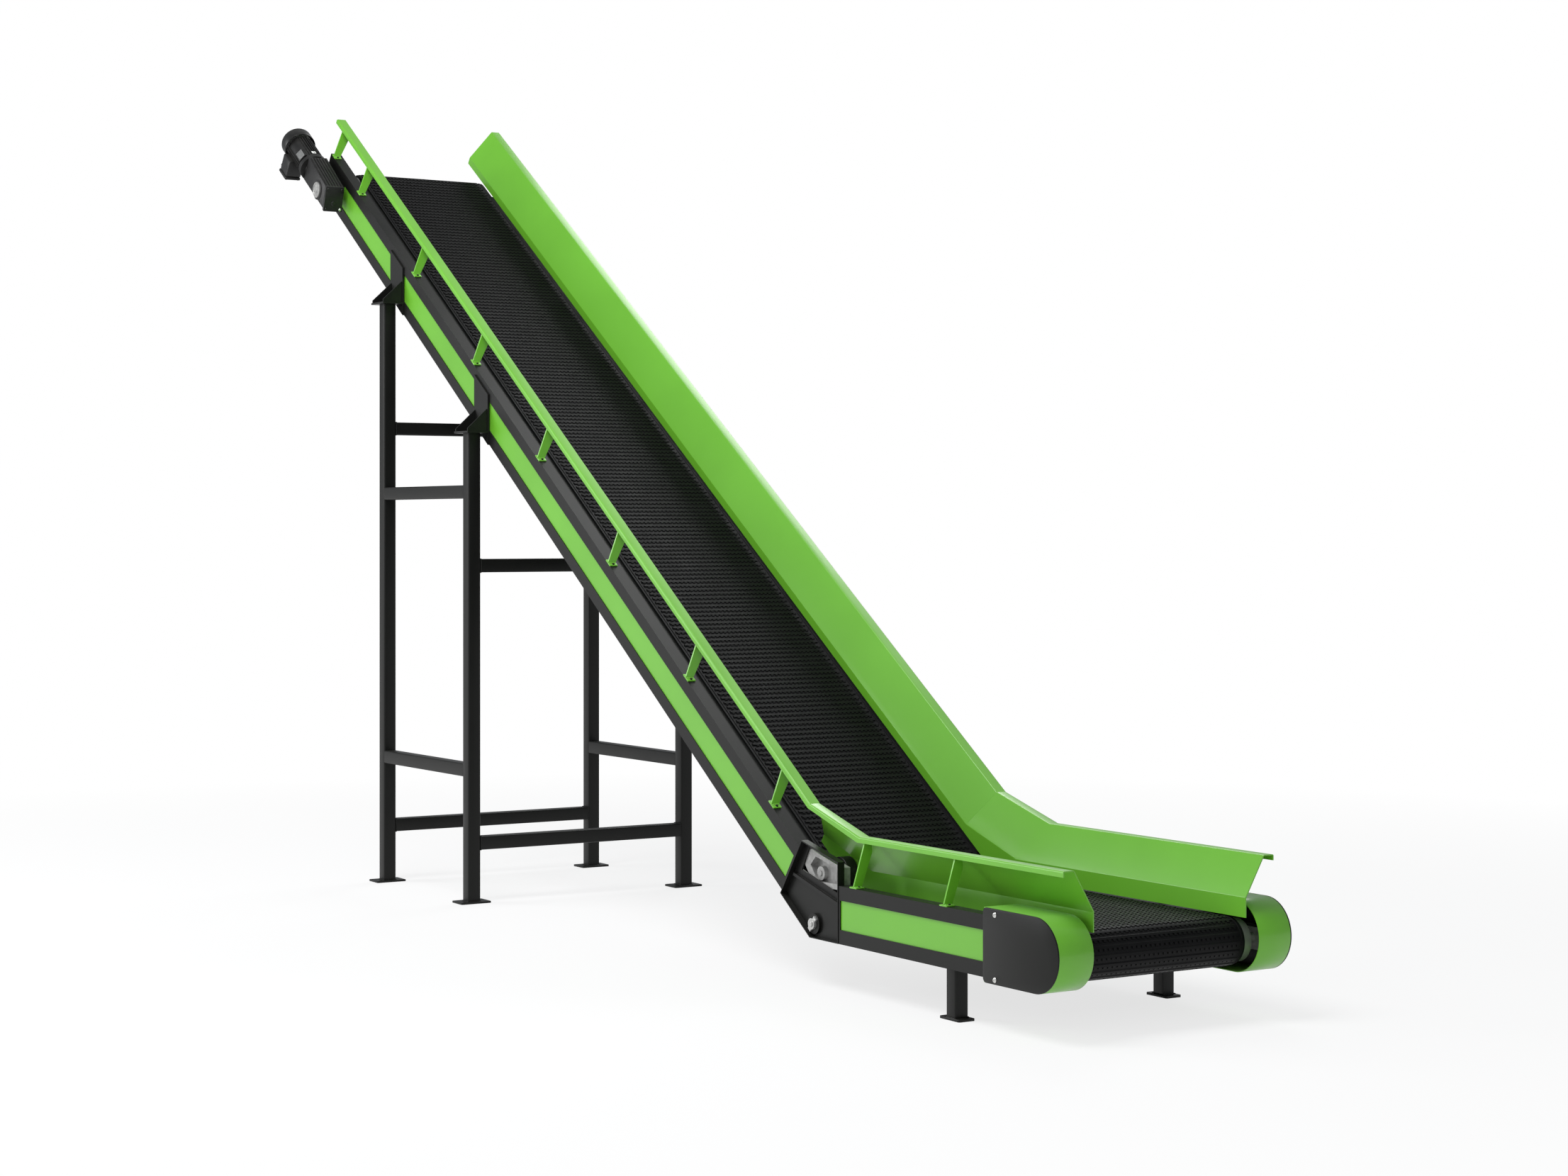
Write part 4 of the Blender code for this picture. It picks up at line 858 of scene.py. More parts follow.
# ---- drums and rollers --------------------------------------------------------------
@dataclass
class Rollers:
    """Every drum, roller and wheel that the belt touches."""

    lines: Lines
    half_face: float = 0.405  # half the width of the head drum's rubber and of the rollers
    half_tail_face: float = 0.442  # half the width of the tail drum's steel
    bars: int = 36  # raised bars round the lagging
    groove: float = 0.0025
    recess: float = 0.010  # of the tail drum's end discs
    shaft: float = 0.020
    pin: float = 0.008
    bend_pin: float = 0.0125
    wheel_width: float = 0.053
    wheel_bore: float = 0.013

    def build(self) -> None:
        """Makes them all."""
        self._drum("tail_drum", False)
        self._drum("head_drum", True)
        for node in ("return_roller_lower", "return_roller_upper", "snub_roller"):
            self._roller(node, node, self.pin)
        self._roller("knee_bend_roller", "bend_roller", self.bend_pin)
        for side in Side:
            self._wheel(side)

    def _spot(self, node: str) -> tuple[Matrix, Vector, Vector]:
        """A matrix at the node's own axis on the centre line, and its box."""
        low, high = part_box(node)
        centre = ((low.x + high.x) / 2.0, self.lines.knee.y, (low.z + high.z) / 2.0)
        return Matrix.Translation(centre), low, high

    def _lagging(self, radius: float, y: float) -> Loop:
        """The lagging's outline at y: raised bars with shallow grooves between them."""
        loop = []
        for i in range(self.bars):
            for share, deep in ((0.0, 0.0), (0.30, 0.0), (0.36, self.groove), (0.94, self.groove)):
                turn = 2.0 * math.pi * (i + share) / self.bars
                spoke = radius - deep
                loop.append((spoke * math.cos(turn), y, spoke * math.sin(turn)))
        return loop

    def _drum(self, node: str, lagged: bool) -> None:
        """A drum in rubber or bare steel, with its end discs, hubs and shaft."""
        at, low, high = self._spot(node)
        radius = (high.z - low.z) / 2.0
        drum = Solid(f"{node}_turned")
        if lagged:
            face, disc, web = self.half_face, self.half_face + 0.0004, CAST
            drum.loft([self._lagging(radius, y) for y in (-face, face)], RUBBER, at)
        else:
            face, web = self.half_tail_face, ZINC
            disc = face - self.recess
            rim = [(radius - 0.006, -face), (radius - 0.001, -face), (radius, -face + 0.001)]
            drum.turn(mirrored(rim), STEEL, at, Axis.ACROSS, 96)
        plate = radius - 0.0065
        hub = along(
            disc, (self.shaft, -0.012), (plate, -0.012), (plate, 0.0), (0.046, 0.0), (0.043, 0.005),
            (0.036, 0.0055), (self.shaft, 0.0055),
        )
        for sign in (-1.0, 1.0):
            drum.turn([(r, sign * y) for r, y in hub], web, at, Axis.ACROSS, 64)
        first, last = low.y - self.lines.knee.y, high.y - self.lines.knee.y
        shaft = along(first, (0.0, 0.0), (self.shaft - 0.001, 0.0), (self.shaft, 0.001))
        shaft += along(last, (self.shaft, -0.001), (self.shaft - 0.001, 0.0), (0.0, 0.0))
        drum.turn(shaft, STEEL, at, Axis.ACROSS, 40)
        drum.build(node, [node])

    def _roller(self, node: str, body: str, pin: float) -> None:
        """A plain steel roller with its pins and end caps."""
        at, low, high = self._spot(node)
        radius = (high.z - low.z) / 2.0
        line = along(-(high.y - low.y) / 2.0, (0.0, 0.0), (pin - 0.001, 0.0), (pin, 0.001))
        line += along(
            -self.half_face, (pin, 0.0), (radius * 0.55, 0.0), (radius * 0.6, 0.003),
            (radius * 0.85, 0.003), (radius * 0.9, 0.0), (radius - 0.001, 0.0), (radius, 0.001),
        )
        roller = Solid(f"{node}_turned")
        roller.turn(mirrored(line), STEEL, at, Axis.ACROSS, 56)
        roller.build(body, [node])

    def _wheel(self, side: Side) -> None:
        """A hold-down wheel: tyre, dished web and hub."""
        node = f"knee_hold_down_wheel_{side.label}"
        at, low, high = self._spot(node)
        at = at @ Matrix.Diagonal((1.0, side.value, 1.0, 1.0))
        middle = self.lines.knee.y
        near, far = sorted((abs(low.y - middle), abs(high.y - middle)))
        radius = (high.z - low.z) / 2.0
        wide = near + self.wheel_width
        wheel = Solid(f"{node}_turned")
        tyre = along(near, (radius - 0.012, 0.0), (radius - 0.002, 0.0), (radius, 0.002))
        tyre += along(wide, (radius, -0.002), (radius - 0.002, 0.0), (radius - 0.012, 0.0))
        # Tyre and web take steel darkened as painted shade, since the wheel sits in shade behind the
        # bend plate.
        wheel.turn(tyre, SHADED_STEEL, at, Axis.ACROSS, 64)
        rim, bore = radius - 0.011, self.wheel_bore
        web = along(near, (bore, 0.002), (0.026, 0.002), (0.032, 0.014), (rim, 0.018))
        web += along(wide, (rim, -0.018), (0.032, -0.013), (0.027, 0.0))
        web += along(far, (0.026, -0.001), (bore, -0.001))
        wheel.turn(web, SHADED_STEEL, at, Axis.ACROSS, 48)
        wheel.build(f"hold_down_wheel_{side.label}", [node])


# ---- guards -------------------------------------------------------------------------
@dataclass
class Guards:
    """The folded side guards, the open rail, and the posts that stand them on the frames."""

    lines: Lines
    gauge: float = 0.005
    skirt: float = 0.379
    flare: float = 0.474
    rail: float = 0.527
    lip: float = 0.024
    level_heights: Point3 = (-0.032, 0.048, 0.210)
    climb_heights: Point3 = (-0.068, -0.029, 0.153)
    tail_end: float = -1.583
    fold_start: float = -0.084
    splice: float = 0.335
    head_end: float = 6.56
    bend_radius: float = 0.007
    level_posts: tuple[float, ...] = (-0.225, -0.872)
    first_post: float = 0.515
    post_pitch: float = 0.905
    post_count: int = 7
    end_post: float = 6.375
    seat_edge: float = 0.535
    post_width: float = 0.040
    post_sheet: float = 0.008
    foot_length: float = 0.050
    foot_sheet: float = 0.006
    gusset: Point3 = (0.024, 0.030, 0.062)  # the gusset's three lower corners, below the flange
    gusset_inset: Point2 = (0.010, 0.0055)  # from the flare's bend and from the lip
    seat_weld: float = 0.0036
    flange_weld: float = 0.0024
    bolt_shift: float = 0.015

    def build(self) -> None:
        """Makes the infeed guards, the right guard of the climb and the left rail."""
        posts = [self.first_post + self.post_pitch * i for i in range(self.post_count)]
        posts.append(self.end_post)
        for side in Side:
            self._infeed(side)
        self._climbing(Side.RIGHT, "guard_incline_right", 0, posts)
        self._climbing(Side.LEFT, "guard_rail_incline_left", 2, posts)

    def _section(self, heights: Point3, first: int) -> list[Point2]:
        """A guard's folded cross-section.

        Args:
            heights: of the skirt's lower edge, its bend and the top flange.
            first: the first corner that this guard has.

        Returns:
            The outline, with its folds rounded.
        """
        low, bend, top = heights
        line = [
            (self.skirt, low), (self.skirt, bend), (self.flare, top), (self.rail, top),
            (self.rail, top - self.lip),
        ]
        return sheet(rounded(line[first:], self.bend_radius, 4, False), self.gauge)

    def _infeed(self, side: Side) -> None:
        """The infeed guard with its two cross folds, up to the splice on the climb."""
        low, bend, _ = self.level_heights
        section = self._section(self.level_heights, 0)
        bent = self._section(self.climb_heights, 0)
        tan, cos, sin = math.tan(self.lines.tilt), math.cos(self.lines.tilt), math.sin(self.lines.tilt)
        meet = (low * cos - self.climb_heights[0]) / sin
        fold, joint = [], []
        for w, n in section:
            s = meet if n <= low + 1e-6 else self.fold_start - (n - bend) * tan
            fold.append((s, w, n))
        for w, n in bent:
            joint.append((self.splice * cos - n * sin, w, self.splice * sin + n * cos))
        guard = Solid(f"guard_infeed_{side.label}_folded")
        start = [(self.tail_end, w, n) for w, n in section]
        guard.loft([start, fold, joint], GREEN, self.lines.level(side))
        for station in self.level_posts:
            self._post(guard, self.lines.level(side), station, self.level_heights[2], 0.0)
        guard.build("frame", [f"guard_infeed_{side.label}"])

    def _climbing(self, side: Side, node: str, first: int, posts: Sequence[float]) -> None:
        """A guard or rail along the climb, on its posts."""
        guard = Solid(f"{node}_folded")
        section = self._section(self.climb_heights, first)
        start = self.splice + RUNNING_GAP
        at = self.lines.climb(side)
        guard.loft([[(s, w, n) for w, n in section] for s in (start, self.head_end)], GREEN, at)
        lean = math.tan(self.lines.tilt)
        for station in posts:
            self._post(guard, at, station, self.climb_heights[2], lean)
        guard.build("frame", [node])

    def _post(self, guard: Solid, at: Matrix, station: float, top: float, lean: float) -> None:
        """A post with its gusset under the flange, its foot, bolt and welds.

        Args:
            guard: the piece under way.
            at: the run's matrix.
            station: where the post stands along the run.
            top: the flange's height.
            lean: how far the post leans along the run for each metre up, to stand upright.
        """
        inner, half = self.seat_edge, self.post_sheet / 2.0
        outer = inner + self.post_width
        seat = RUNNING_GAP + self.foot_sheet
        flange = top - self.gauge
        shelf, lip = self.flare + self.gusset_inset[0], self.rail - self.gusset_inset[1]
        back, front, throat = (top - fall for fall in self.gusset)
        web = [
            (inner, seat - 0.002), (outer, seat - 0.002), (lip, front), (lip, flange + 0.001),
            (shelf, flange + 0.001), (shelf, back), (lip - self.post_width, throat),
        ]
        web = rounded(web, 0.002, 2, True)
        loops = [[(station + s + lean * n, w, n) for w, n in web] for s in (-half, half)]
        guard.loft(loops, GREEN, at)
        reach = self.foot_length / 2.0
        low = (station - reach, inner - 0.001, RUNNING_GAP)
        high = (station + reach, outer + 0.0025, seat)
        guard.block(low, high, GREEN, at, 0.0012)
        for sign in (-1.0, 1.0):
            s = station + sign * (half + 0.001)
            path = [(s, inner + 0.002, seat), (s, outer - 0.002, seat)]
            guard.bead(path, self.seat_weld, WELD_GREEN, at)
            s += lean * flange
            path = [(s, shelf + 0.004, flange), (s, lip - 0.004, flange)]
            guard.bead(path, self.flange_weld, WELD_GREEN, at)
        path = [(station - half, outer + 0.0005, seat), (station + half, outer + 0.0005, seat)]
        guard.bead(path, self.seat_weld, WELD_GREEN, at)
        bolt_at = (station - self.bolt_shift, inner + self.post_width / 2.0, seat - 0.0004)
        guard.bolt(bolt_at, 0.006, BLACK, at, Axis.UP, 1.0)


# ---- trestle, feet and brackets -----------------------------------------------------
@dataclass
class Trestle:
    """The trestle's two sides, its cross bars, the infeed feet and their foot plates."""

    lines: Lines
    leg: float = 0.070
    corner: float = 0.007
    foot_plate: Point3 = (0.120, 0.170, 0.010)
    infeed_leg: float = 0.064
    infeed_plate: Point3 = (0.135, 0.080, 0.010)
    plate_corner: float = 0.008
    plate_ease: float = 0.001
    bars: Point2 = (0.690, 2.140)
    bar_inset: float = 0.001  # a bar's tube is this much smaller than a leg's
    overlap: float = 0.003  # how far a bar reaches into a leg
    foot_weld: float = 0.0036
    bar_weld: float = 0.003
    cross_weld: float = 0.0032
    leg_half_width: float = 0.638
    stations: Point2 = (3.268, 4.326)
    frame_depth: float = 0.244
    bracket_rise: float = 0.007

    def _tube(self, size: float) -> list[Point2]:
        """A square tube's outline, about its middle."""
        return rounded(rectangle(size, size), self.corner, 4, True)

    @staticmethod
    def _square(half: float) -> list[Point2]:
        """A square's corners and the first again, for a weld to follow."""
        corners = rectangle(2.0 * half, 2.0 * half)
        return [*corners, corners[0]]

    def _stand(
        self, piece: Solid, at: Matrix, spot: Point2, leg: float, plate: Point3, top: float
    ) -> None:
        """Adds a leg on its foot plate, with the weld round it.

        Args:
            piece: the piece under way.
            at: the matrix from the floor's coordinates to the machine's.
            spot: the leg's middle, in x and w.
            leg: the side of the leg's tube.
            plate: the foot plate's length, width and thickness.
            top: the leg's height.
        """
        x, w = spot
        length, width, thick = plate
        tube = self._tube(leg)
        piece.loft([[(x + u, w + v, z) for u, v in tube] for z in (thick - 0.002, top)], BLACK, at)
        outline = rounded(rectangle(length, width), self.plate_corner, 3, True)
        loops = []
        for z, inset in ((0.0, 0.0), (thick - self.plate_ease, 0.0), (thick, self.plate_ease)):
            share = 1.0 - inset / (length / 2.0)
            loops.append([(x + u * share, w + v * share, z) for u, v in outline])
        piece.loft(loops, BLACK, at)
        weld = [(x + u, w + v, thick) for u, v in self._square(leg / 2.0 + 0.001)]
        piece.bead(weld, self.foot_weld, BLACK, at)

    def _leg_top(self, station: float) -> float:
        """Height of a trestle leg's top above the floor."""
        drop = self.frame_depth / math.cos(self.lines.tilt)
        return self.lines.knee.z + station * math.tan(self.lines.tilt) - drop + self.bracket_rise

    def build(self) -> None:
        """Makes both sides, the cross bars and the infeed feet."""
        for side in Side:
            self._side(side)
            self._infeed(side)
        for station in ("upstream", "downstream"):
            for height in ("low", "high"):
                self._cross(f"cross_bar_{station}_{height}")

    def _side(self, side: Side) -> None:
        """Two legs on foot plates, tied by two bars."""
        piece = Solid(f"trestle_side_{side.label}_welded")
        at = self.lines.floor(side)
        w = self.leg_half_width
        for x in self.stations:
            top = self._leg_top(x) - RUNNING_GAP
            self._stand(piece, at, (x, w), self.leg, self.foot_plate, top)
        first, last = self.stations[0] + self.leg / 2.0, self.stations[1] - self.leg / 2.0
        ends = (first - self.overlap, last + self.overlap)
        outline = self._tube(self.leg - self.bar_inset)
        for z in self.bars:
            piece.loft([[(x, w + u, z + v) for u, v in outline] for x in ends], BLACK, at)
            for x in (first, last):
                weld = [(x, w + u, z + v) for u, v in self._square(self.leg / 2.0 - 0.004)]
                piece.bead(weld, self.bar_weld, BLACK, at)
        piece.build("frame", [f"trestle_side_{side.label}"])

    def _cross(self, node: str) -> None:
        """A bar from one side of the trestle to the other."""
        low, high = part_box(node)
        centre = (low + high) / 2.0
        outline = self._tube(self.leg)
        piece = Solid(f"{node}_tube")
        loops = [[(centre.x + u, y, centre.z + v) for u, v in outline] for y in (low.y, high.y)]
        piece.loft(loops, BLACK, MACHINE)
        square = self._square(self.leg / 2.0 - 0.003)
        for y in (low.y + self.overlap, high.y - self.overlap):
            weld = [(centre.x + u * 1.08, y, centre.z + v * 1.08) for u, v in square]
            piece.bead(weld, self.cross_weld, BLACK, MACHINE)
        piece.build("frame", [node])

    def _infeed(self, side: Side) -> None:
        """A short foot under the level run."""
        node = f"infeed_leg_{side.label}"
        low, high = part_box(node)
        x = (low.x + high.x) / 2.0 - self.lines.knee.x
        w = abs((low.y + high.y) / 2.0 - self.lines.knee.y)
        piece = Solid(f"{node}_welded")
        at = self.lines.floor(side)
        self._stand(piece, at, (x, w), self.infeed_leg, self.infeed_plate, high.z)
        piece.build("frame", [node])


# ---- tail ---------------------------------------------------------------------------
@dataclass
class Tail:
    """The cowls over the tail drum's ends, with their plates and bolts."""

    lines: Lines
    radius: float = 0.1465
    gauge: float = 0.004
    inner: float = 0.414
    outer: float = 0.5773
    edge: float = 0.0008  # how far a band's edges are eased
    rear: float = -1.148
    nose_s: float = -1.480
    drop: float = 0.1155
    plate_seat: float = 0.5776
    plate_gauge: float = 0.006
    plate_ease: float = 0.0015
    corner: float = 0.020
    bolt_heights: Point2 = (0.008, -0.244)
    bolt_set: float = 0.078
    chords: int = 48

    def _nose(self, radius: float) -> list[Point2]:
        """Points round the nose, from the top to the bottom."""
        return arc((self.nose_s, -self.drop), radius, 90.0, 180.0, self.chords)

    def build(self) -> None:
        """Makes both cowls and both plates."""
        for side in Side:
            self._cowl(side)
            self._plate(side)

    def _cowl(self, side: Side) -> None:
        """The wrapped band, open towards the frame."""
        rear, r, t, drop = self.rear, self.radius, self.gauge, self.drop
        outer = [(rear, r - drop), *self._nose(r), (rear, -r - drop)]
        inner = [(rear, t - r - drop), *reversed(self._nose(r - t)), (rear, r - t - drop)]
        band = outer + inner
        piece = Solid(f"tail_cowl_{side.label}_wrap")
        loops = []
        for w, mix in (
            (self.inner, 0.9), (self.inner + self.edge, 1.0), (self.outer - self.edge, 1.0),
            (self.outer, 0.9),
        ):
            rest = 1.0 - mix
            pairs = zip(band, reversed(band))
            loops.append([(s * mix + u * rest, w, n * mix + v * rest) for (s, n), (u, v) in pairs])
        piece.loft(loops, GREEN, self.lines.level(side))
        piece.build("frame", [f"tail_cowl_{side.label}"])

    def _plate(self, side: Side) -> None:
        """The end plate with its two round-headed bolts."""
        at = self.lines.level(side)
        c, r = self.corner, self.radius
        outline = self._nose(r)
        outline += arc((self.rear - c, c - r - self.drop), c, 270.0, 90.0, 6)
        outline += arc((self.rear - c, r - c - self.drop), c, 0.0, 90.0, 6)
        piece = Solid(f"tail_cowl_plate_{side.label}_bolted")
        seat, top = self.plate_seat, self.plate_seat + self.plate_gauge
        piece.slab(outline, seat, top, self.plate_ease, BLACK, at)
        dome = along(
            top, (0.0, -0.001), (0.011, -0.001), (0.011, 0.0012), (0.009, 0.0035), (0.006, 0.0050),
            (0.003, 0.0050), (0.003, 0.0032), (0.0, 0.0032),
        )
        for n in self.bolt_heights:
            here = at @ Matrix.Translation((self.rear - self.bolt_set, 0.0, n))
            piece.turn(dome, ZINC, here, Axis.ACROSS, 28)
        piece.build("frame", [f"tail_cowl_plate_{side.label}"])


# ---- gearmotor ----------------------------------------------------------------------
@dataclass
class Gearmotor:
    """The gearbox, the motor with its fins, cowl and terminal box, and their fastenings."""

    lines: Lines
    back: float = 0.600
    width: float = 0.115
    front_top: Point2 = (-0.250, -0.039)
    front_bottom: Point2 = (-0.295, -0.178)
    rear: float = 0.095
    rear_top: float = -0.021
    case_half: float = 0.050
    case_width: float = 0.040
    cover_at: Point2 = (-0.145, -0.120)
    cover_radius: float = 0.046
    body_radius: float = 0.0705
    fin_radius: float = 0.0800
    fins: int = 32
    flange_radius: float = 0.084
    length: float = 0.255
    cowl_radius: float = 0.092
    cowl_length: float = 0.085
    box_size: Point3 = (0.113, 0.095, 0.118)
    box_at: Point3 = (0.120, 0.0075, -0.035)
    wall_inset: float = 0.006  # of the housing's walls inside its ribs
    front_set: float = 0.012  # from the front cover's face to the housing's
    front_sheet: float = 0.016
    bolt_edge: float = 0.016
    ribs: int = 6
    rib_pitch: float = 0.0175
    rib_sheet: float = 0.005
    bare_fins: Point2 = (276.0, 328.0)  # where the rating plate's pad stands instead, in degrees
    grille: tuple[float, ...] = (0.066, 0.054, 0.042, 0.030, 0.018)
    spokes: int = 8
    climb: Matrix = field(init=False)
    axle: Vector = field(init=False)
    worm: Vector = field(init=False)

    def __post_init__(self) -> None:
        """Finds the head drum's axis and the motor's in the climb's coordinates."""
        self.climb = self.lines.climb()
        inverse = self.climb.inverted()
        self.axle = inverse @ self.lines.at_joint("head_drum_spin")
        self.worm = inverse @ self.lines.at_joint("motor_spin")

    def build(self) -> None:
        """Makes the gearbox, the cover, the motor, its cowl, the terminal box and its gland."""
        self._gearbox()
        self._cover()
        self._motor()
        self._cowl()
        self._gland(self._terminal_box())

    def _on_worm(self) -> Matrix:
        """From the motor's own axis, at the climb's s of nought, to the machine."""
        return self.climb @ Matrix.Translation((0.0, self.worm.y, self.worm.z))

    def _on_cover(self) -> Matrix:
        """From the round cover's middle, on the belt's centre line, to the machine."""
        s, n = self.cover_at
        return self.climb @ Matrix.Translation((self.axle.x + s, 0.0, n))

    def _gearbox(self) -> None:
        """The cast housing: body, ribs, front cover, output case, and the two round faces."""
        climb, s, outer = self.climb, self.axle.x, self.back + self.width
        top = Vector((s + self.front_top[0], self.front_top[1]))
        low = Vector((s + self.front_bottom[0], self.front_bottom[1]))
        rear = s + self.rear
        box = Solid("gearbox_cast_housing")
        front, end, inset = self.front_set, rear - 0.011, self.wall_inset
        body = [
            (low.x + front, low.y + inset), (end, low.y + inset), (end, self.rear_top - inset),
            (top.x + front, top.y - inset),
        ]
        box.slab(rounded(body, 0.008, 4, True), self.back, outer - 0.005, inset, ENAMEL, climb)
        self._ribs(box, top, low, rear)
        self._front(box, top, low)
        case_low = (s - self.case_half, self.back, self.axle.z - self.case_half)
        case_high = (s + self.case_half, self.back + self.case_width, low.y + 0.010)
        box.block(case_low, case_high, ENAMEL, climb, 0.006)
        boss = along(outer, (0.0, -0.012), (0.058, -0.012), (0.056, -0.001), (0.048, 0.0), (0.0, 0.0))
        box.turn(boss, ENAMEL, self._on_cover(), Axis.ACROSS, 56)
        wide = self.flange_radius - 0.001
        neck = along(
            rear, (0.0, -0.030), (0.050, -0.030), (0.056, -0.014), (wide, -0.012), (wide, 0.0),
            (0.0, 0.0),
        )
        box.turn(neck, ENAMEL, self._on_worm(), Axis.ALONG, 56)
        box.build("frame", ["gearbox_housing"])

    def _ribs(self, box: Solid, top: Vector, low: Vector, rear: float) -> None:
        """Adds the ribs along the housing's top and bottom.

        Args:
            box: the piece under way.
            top: the front cover's upper corner, in s and n.
            low: its lower corner.
            rear: the place along the climb of the housing's motor end.
        """
        rise = [
            (top.x + self.front_set, top.y - 0.010), (top.x + self.front_set, top.y - 0.001),
            (rear - 0.030, self.rear_top - 0.002), (rear - 0.012, self.rear_top - 0.012),
        ]
        keel = [
            (low.x + 0.014, low.y + 0.010), (low.x + 0.014, low.y), (rear - 0.030, low.y),
            (rear - 0.012, low.y + 0.010),
        ]
        for i in range(self.ribs):
            w = self.back + 0.010 + self.rib_pitch * i
            for rib in (rise, keel):
                loops = [[(a, w + d, b) for a, b in rib] for d in (0.0, self.rib_sheet)]
                box.loft(loops, ENAMEL, self.climb)

    def _front(self, box: Solid, top: Vector, low: Vector) -> None:
        """Adds the front cover with its four bolts, one of them bright, and its plug.

        Args:
            box: the piece under way.
            top: the cover's upper corner, in s and n.
            low: its lower corner.
        """
        first, outer, edge = self.back, self.back + self.width, self.bolt_edge
        slope = (top - low).normalized()
        foot, head = low + slope * 0.001, top - slope * 0.001
        thick = Vector((self.front_sheet, 0.0))
        flange = [tuple(foot), tuple(foot + thick), tuple(head + thick), tuple(head)]
        box.slab(rounded(flange, 0.003, 3, True), first + 0.003, outer, 0.003, ENAMEL, self.climb)
        lean = self.climb @ Matrix.Translation((low.x, 0.0, low.y))
        lean = lean @ Matrix.Rotation(math.atan2(slope.x, slope.y), 4, "Y")
        tall = (top - low).length
        bright = (first + edge, edge)
        for w in (first + edge, outer - 0.014):
            for n in (edge, tall - edge):
                finish = ZINC if (w, n) == bright else ENAMEL
                box.bolt((0.0, w, n), 0.008, finish, lean, Axis.ALONG, -1.0)
        plug_at = lean @ Matrix.Translation((0.0, first + 0.060, 0.050))
        plug = [(0.0, 0.001), (0.013, 0.001), (0.013, -0.003), (0.010, -0.005), (0.0, -0.005)]
        box.turn(plug, ENAMEL, plug_at, Axis.ALONG, 24)

    def _cover(self) -> None:
        """The round cover on the housing's outer face, with its raised ring."""
        r = self.cover_radius
        cover = Solid("gearbox_cover_cap")
        cap = along(
            self.back + self.width, (0.0, 0.0004), (r, 0.0004), (r, 0.006), (r - 0.003, 0.0086),
            (r - 0.009, 0.0086), (r - 0.011, 0.0045), (0.016, 0.0035), (0.014, 0.006), (0.0, 0.006),
        )
        cover.turn(cap, CAST, self._on_cover(), Axis.ACROSS, 56)
        cover.build("frame", ["gearbox_cover"])

    def _motor(self) -> None:
        """The finned body between its two end shields, with the bare plate and label."""
        start = self.axle.x + self.rear + 0.0004
        end = start + self.length
        here = self._on_worm()
        motor = Solid("motor_finned_body")
        r, core = self.flange_radius, self.body_radius
        body = along(start, (0.0, 0.012), (core, 0.012)) + along(end, (core, -0.010), (0.0, -0.010))
        motor.turn(body, ENAMEL, here, Axis.ALONG, 72)
        shield = along(
            start, (0.0, 0.0), (r - 0.002, 0.0), (r, 0.002), (r, 0.016), (r - 0.007, 0.020),
            (r - 0.010, 0.028), (0.0, 0.028),
        )
        motor.turn(shield, ENAMEL, here, Axis.ALONG, 72)
        line = [(-0.0020, core - 0.003), (0.0020, core - 0.003)]
        line += [(0.0013, self.fin_radius), (-0.0013, self.fin_radius)]
        fin = [[(s, u, v) for u, v in line] for s in (start + 0.024, end - 0.014)]
        first_bare, last_bare = (math.radians(turn) for turn in self.bare_fins)
        for i in range(self.fins):
            turn = 2.0 * math.pi * i / self.fins
            if not first_bare < turn < last_bare:
                motor.loft(fin, ENAMEL, here @ Matrix.Rotation(turn, 4, "X"))
        for turn in (45.0, 135.0, 225.0, 315.0):
            spot = here @ Matrix.Rotation(math.radians(turn), 4, "X")
            motor.bolt((start + 0.0175, 0.0, r - 0.011), 0.007, ENAMEL, spot, Axis.ALONG, 1.0)
        pad = here @ Matrix.Rotation(math.radians(-58.0), 4, "X")
        middle = start + 0.075
        plate_top = self.fin_radius - 0.0008
        motor.block(
            (middle - 0.040, -0.027, core - 0.004), (middle + 0.040, 0.027, plate_top),
            ENAMEL, pad, 0.003,
        )
        motor.block(
            (middle - 0.034, -0.021, plate_top - 0.0005), (middle + 0.034, 0.021, plate_top + 0.0007),
            ZINC, pad, 0.0004, 1,
        )
        tag = here @ Matrix.Rotation(math.radians(-2.0), 4, "X")
        motor.block(
            (start + 0.030, -0.012, self.fin_radius - 0.0012),
            (start + 0.056, 0.012, self.fin_radius - 0.0002), LABEL, tag, 0.0003, 1,
        )
        motor.build("frame", ["motor_housing"])

    def _cowl(self) -> None:
        """The fan cowl: a rolled rim and a slotted back."""
        end = self.axle.x + self.rear + RUNNING_GAP + self.length
        first = end - 0.014
        last = first + self.cowl_length
        here = self._on_worm()
        r = self.cowl_radius
        rim = along(first, (r - 0.003, 0.0), (r - 0.0005, 0.0), (r, 0.001))
        rim += along(
            last, (r, -0.016), (r - 0.003, -0.008), (r - 0.009, -0.0023), (r - 0.016, 0.0),
            (r - 0.022, 0.0), (r - 0.022, -0.003), (r - 0.016, -0.003), (r - 0.011, -0.005),
            (r - 0.006, -0.010), (r - 0.003, -0.017),
        )
        cowl = Solid("motor_fan_cowl_slotted")
        cowl.turn(rim, ENAMEL, here, Axis.ALONG, 72)
        for radius in self.grille:
            inner, outer = radius - 0.004, radius + 0.003
            band = along(last, (inner, -0.003), (outer, -0.003), (outer, -0.0005), (inner, -0.0005))
            cowl.turn(band, ENAMEL, here, Axis.ALONG, 56)
        for i in range(self.spokes):
            spoke = here @ Matrix.Rotation(2.0 * math.pi * i / self.spokes, 4, "X")
            low, high = (last - 0.004, -0.0035, 0.014), (last - 0.001, 0.0035, r - 0.018)
            cowl.block(low, high, ENAMEL, spoke, 0.0006, 1)
        cowl.build("frame", ["motor_fan_cowl"])

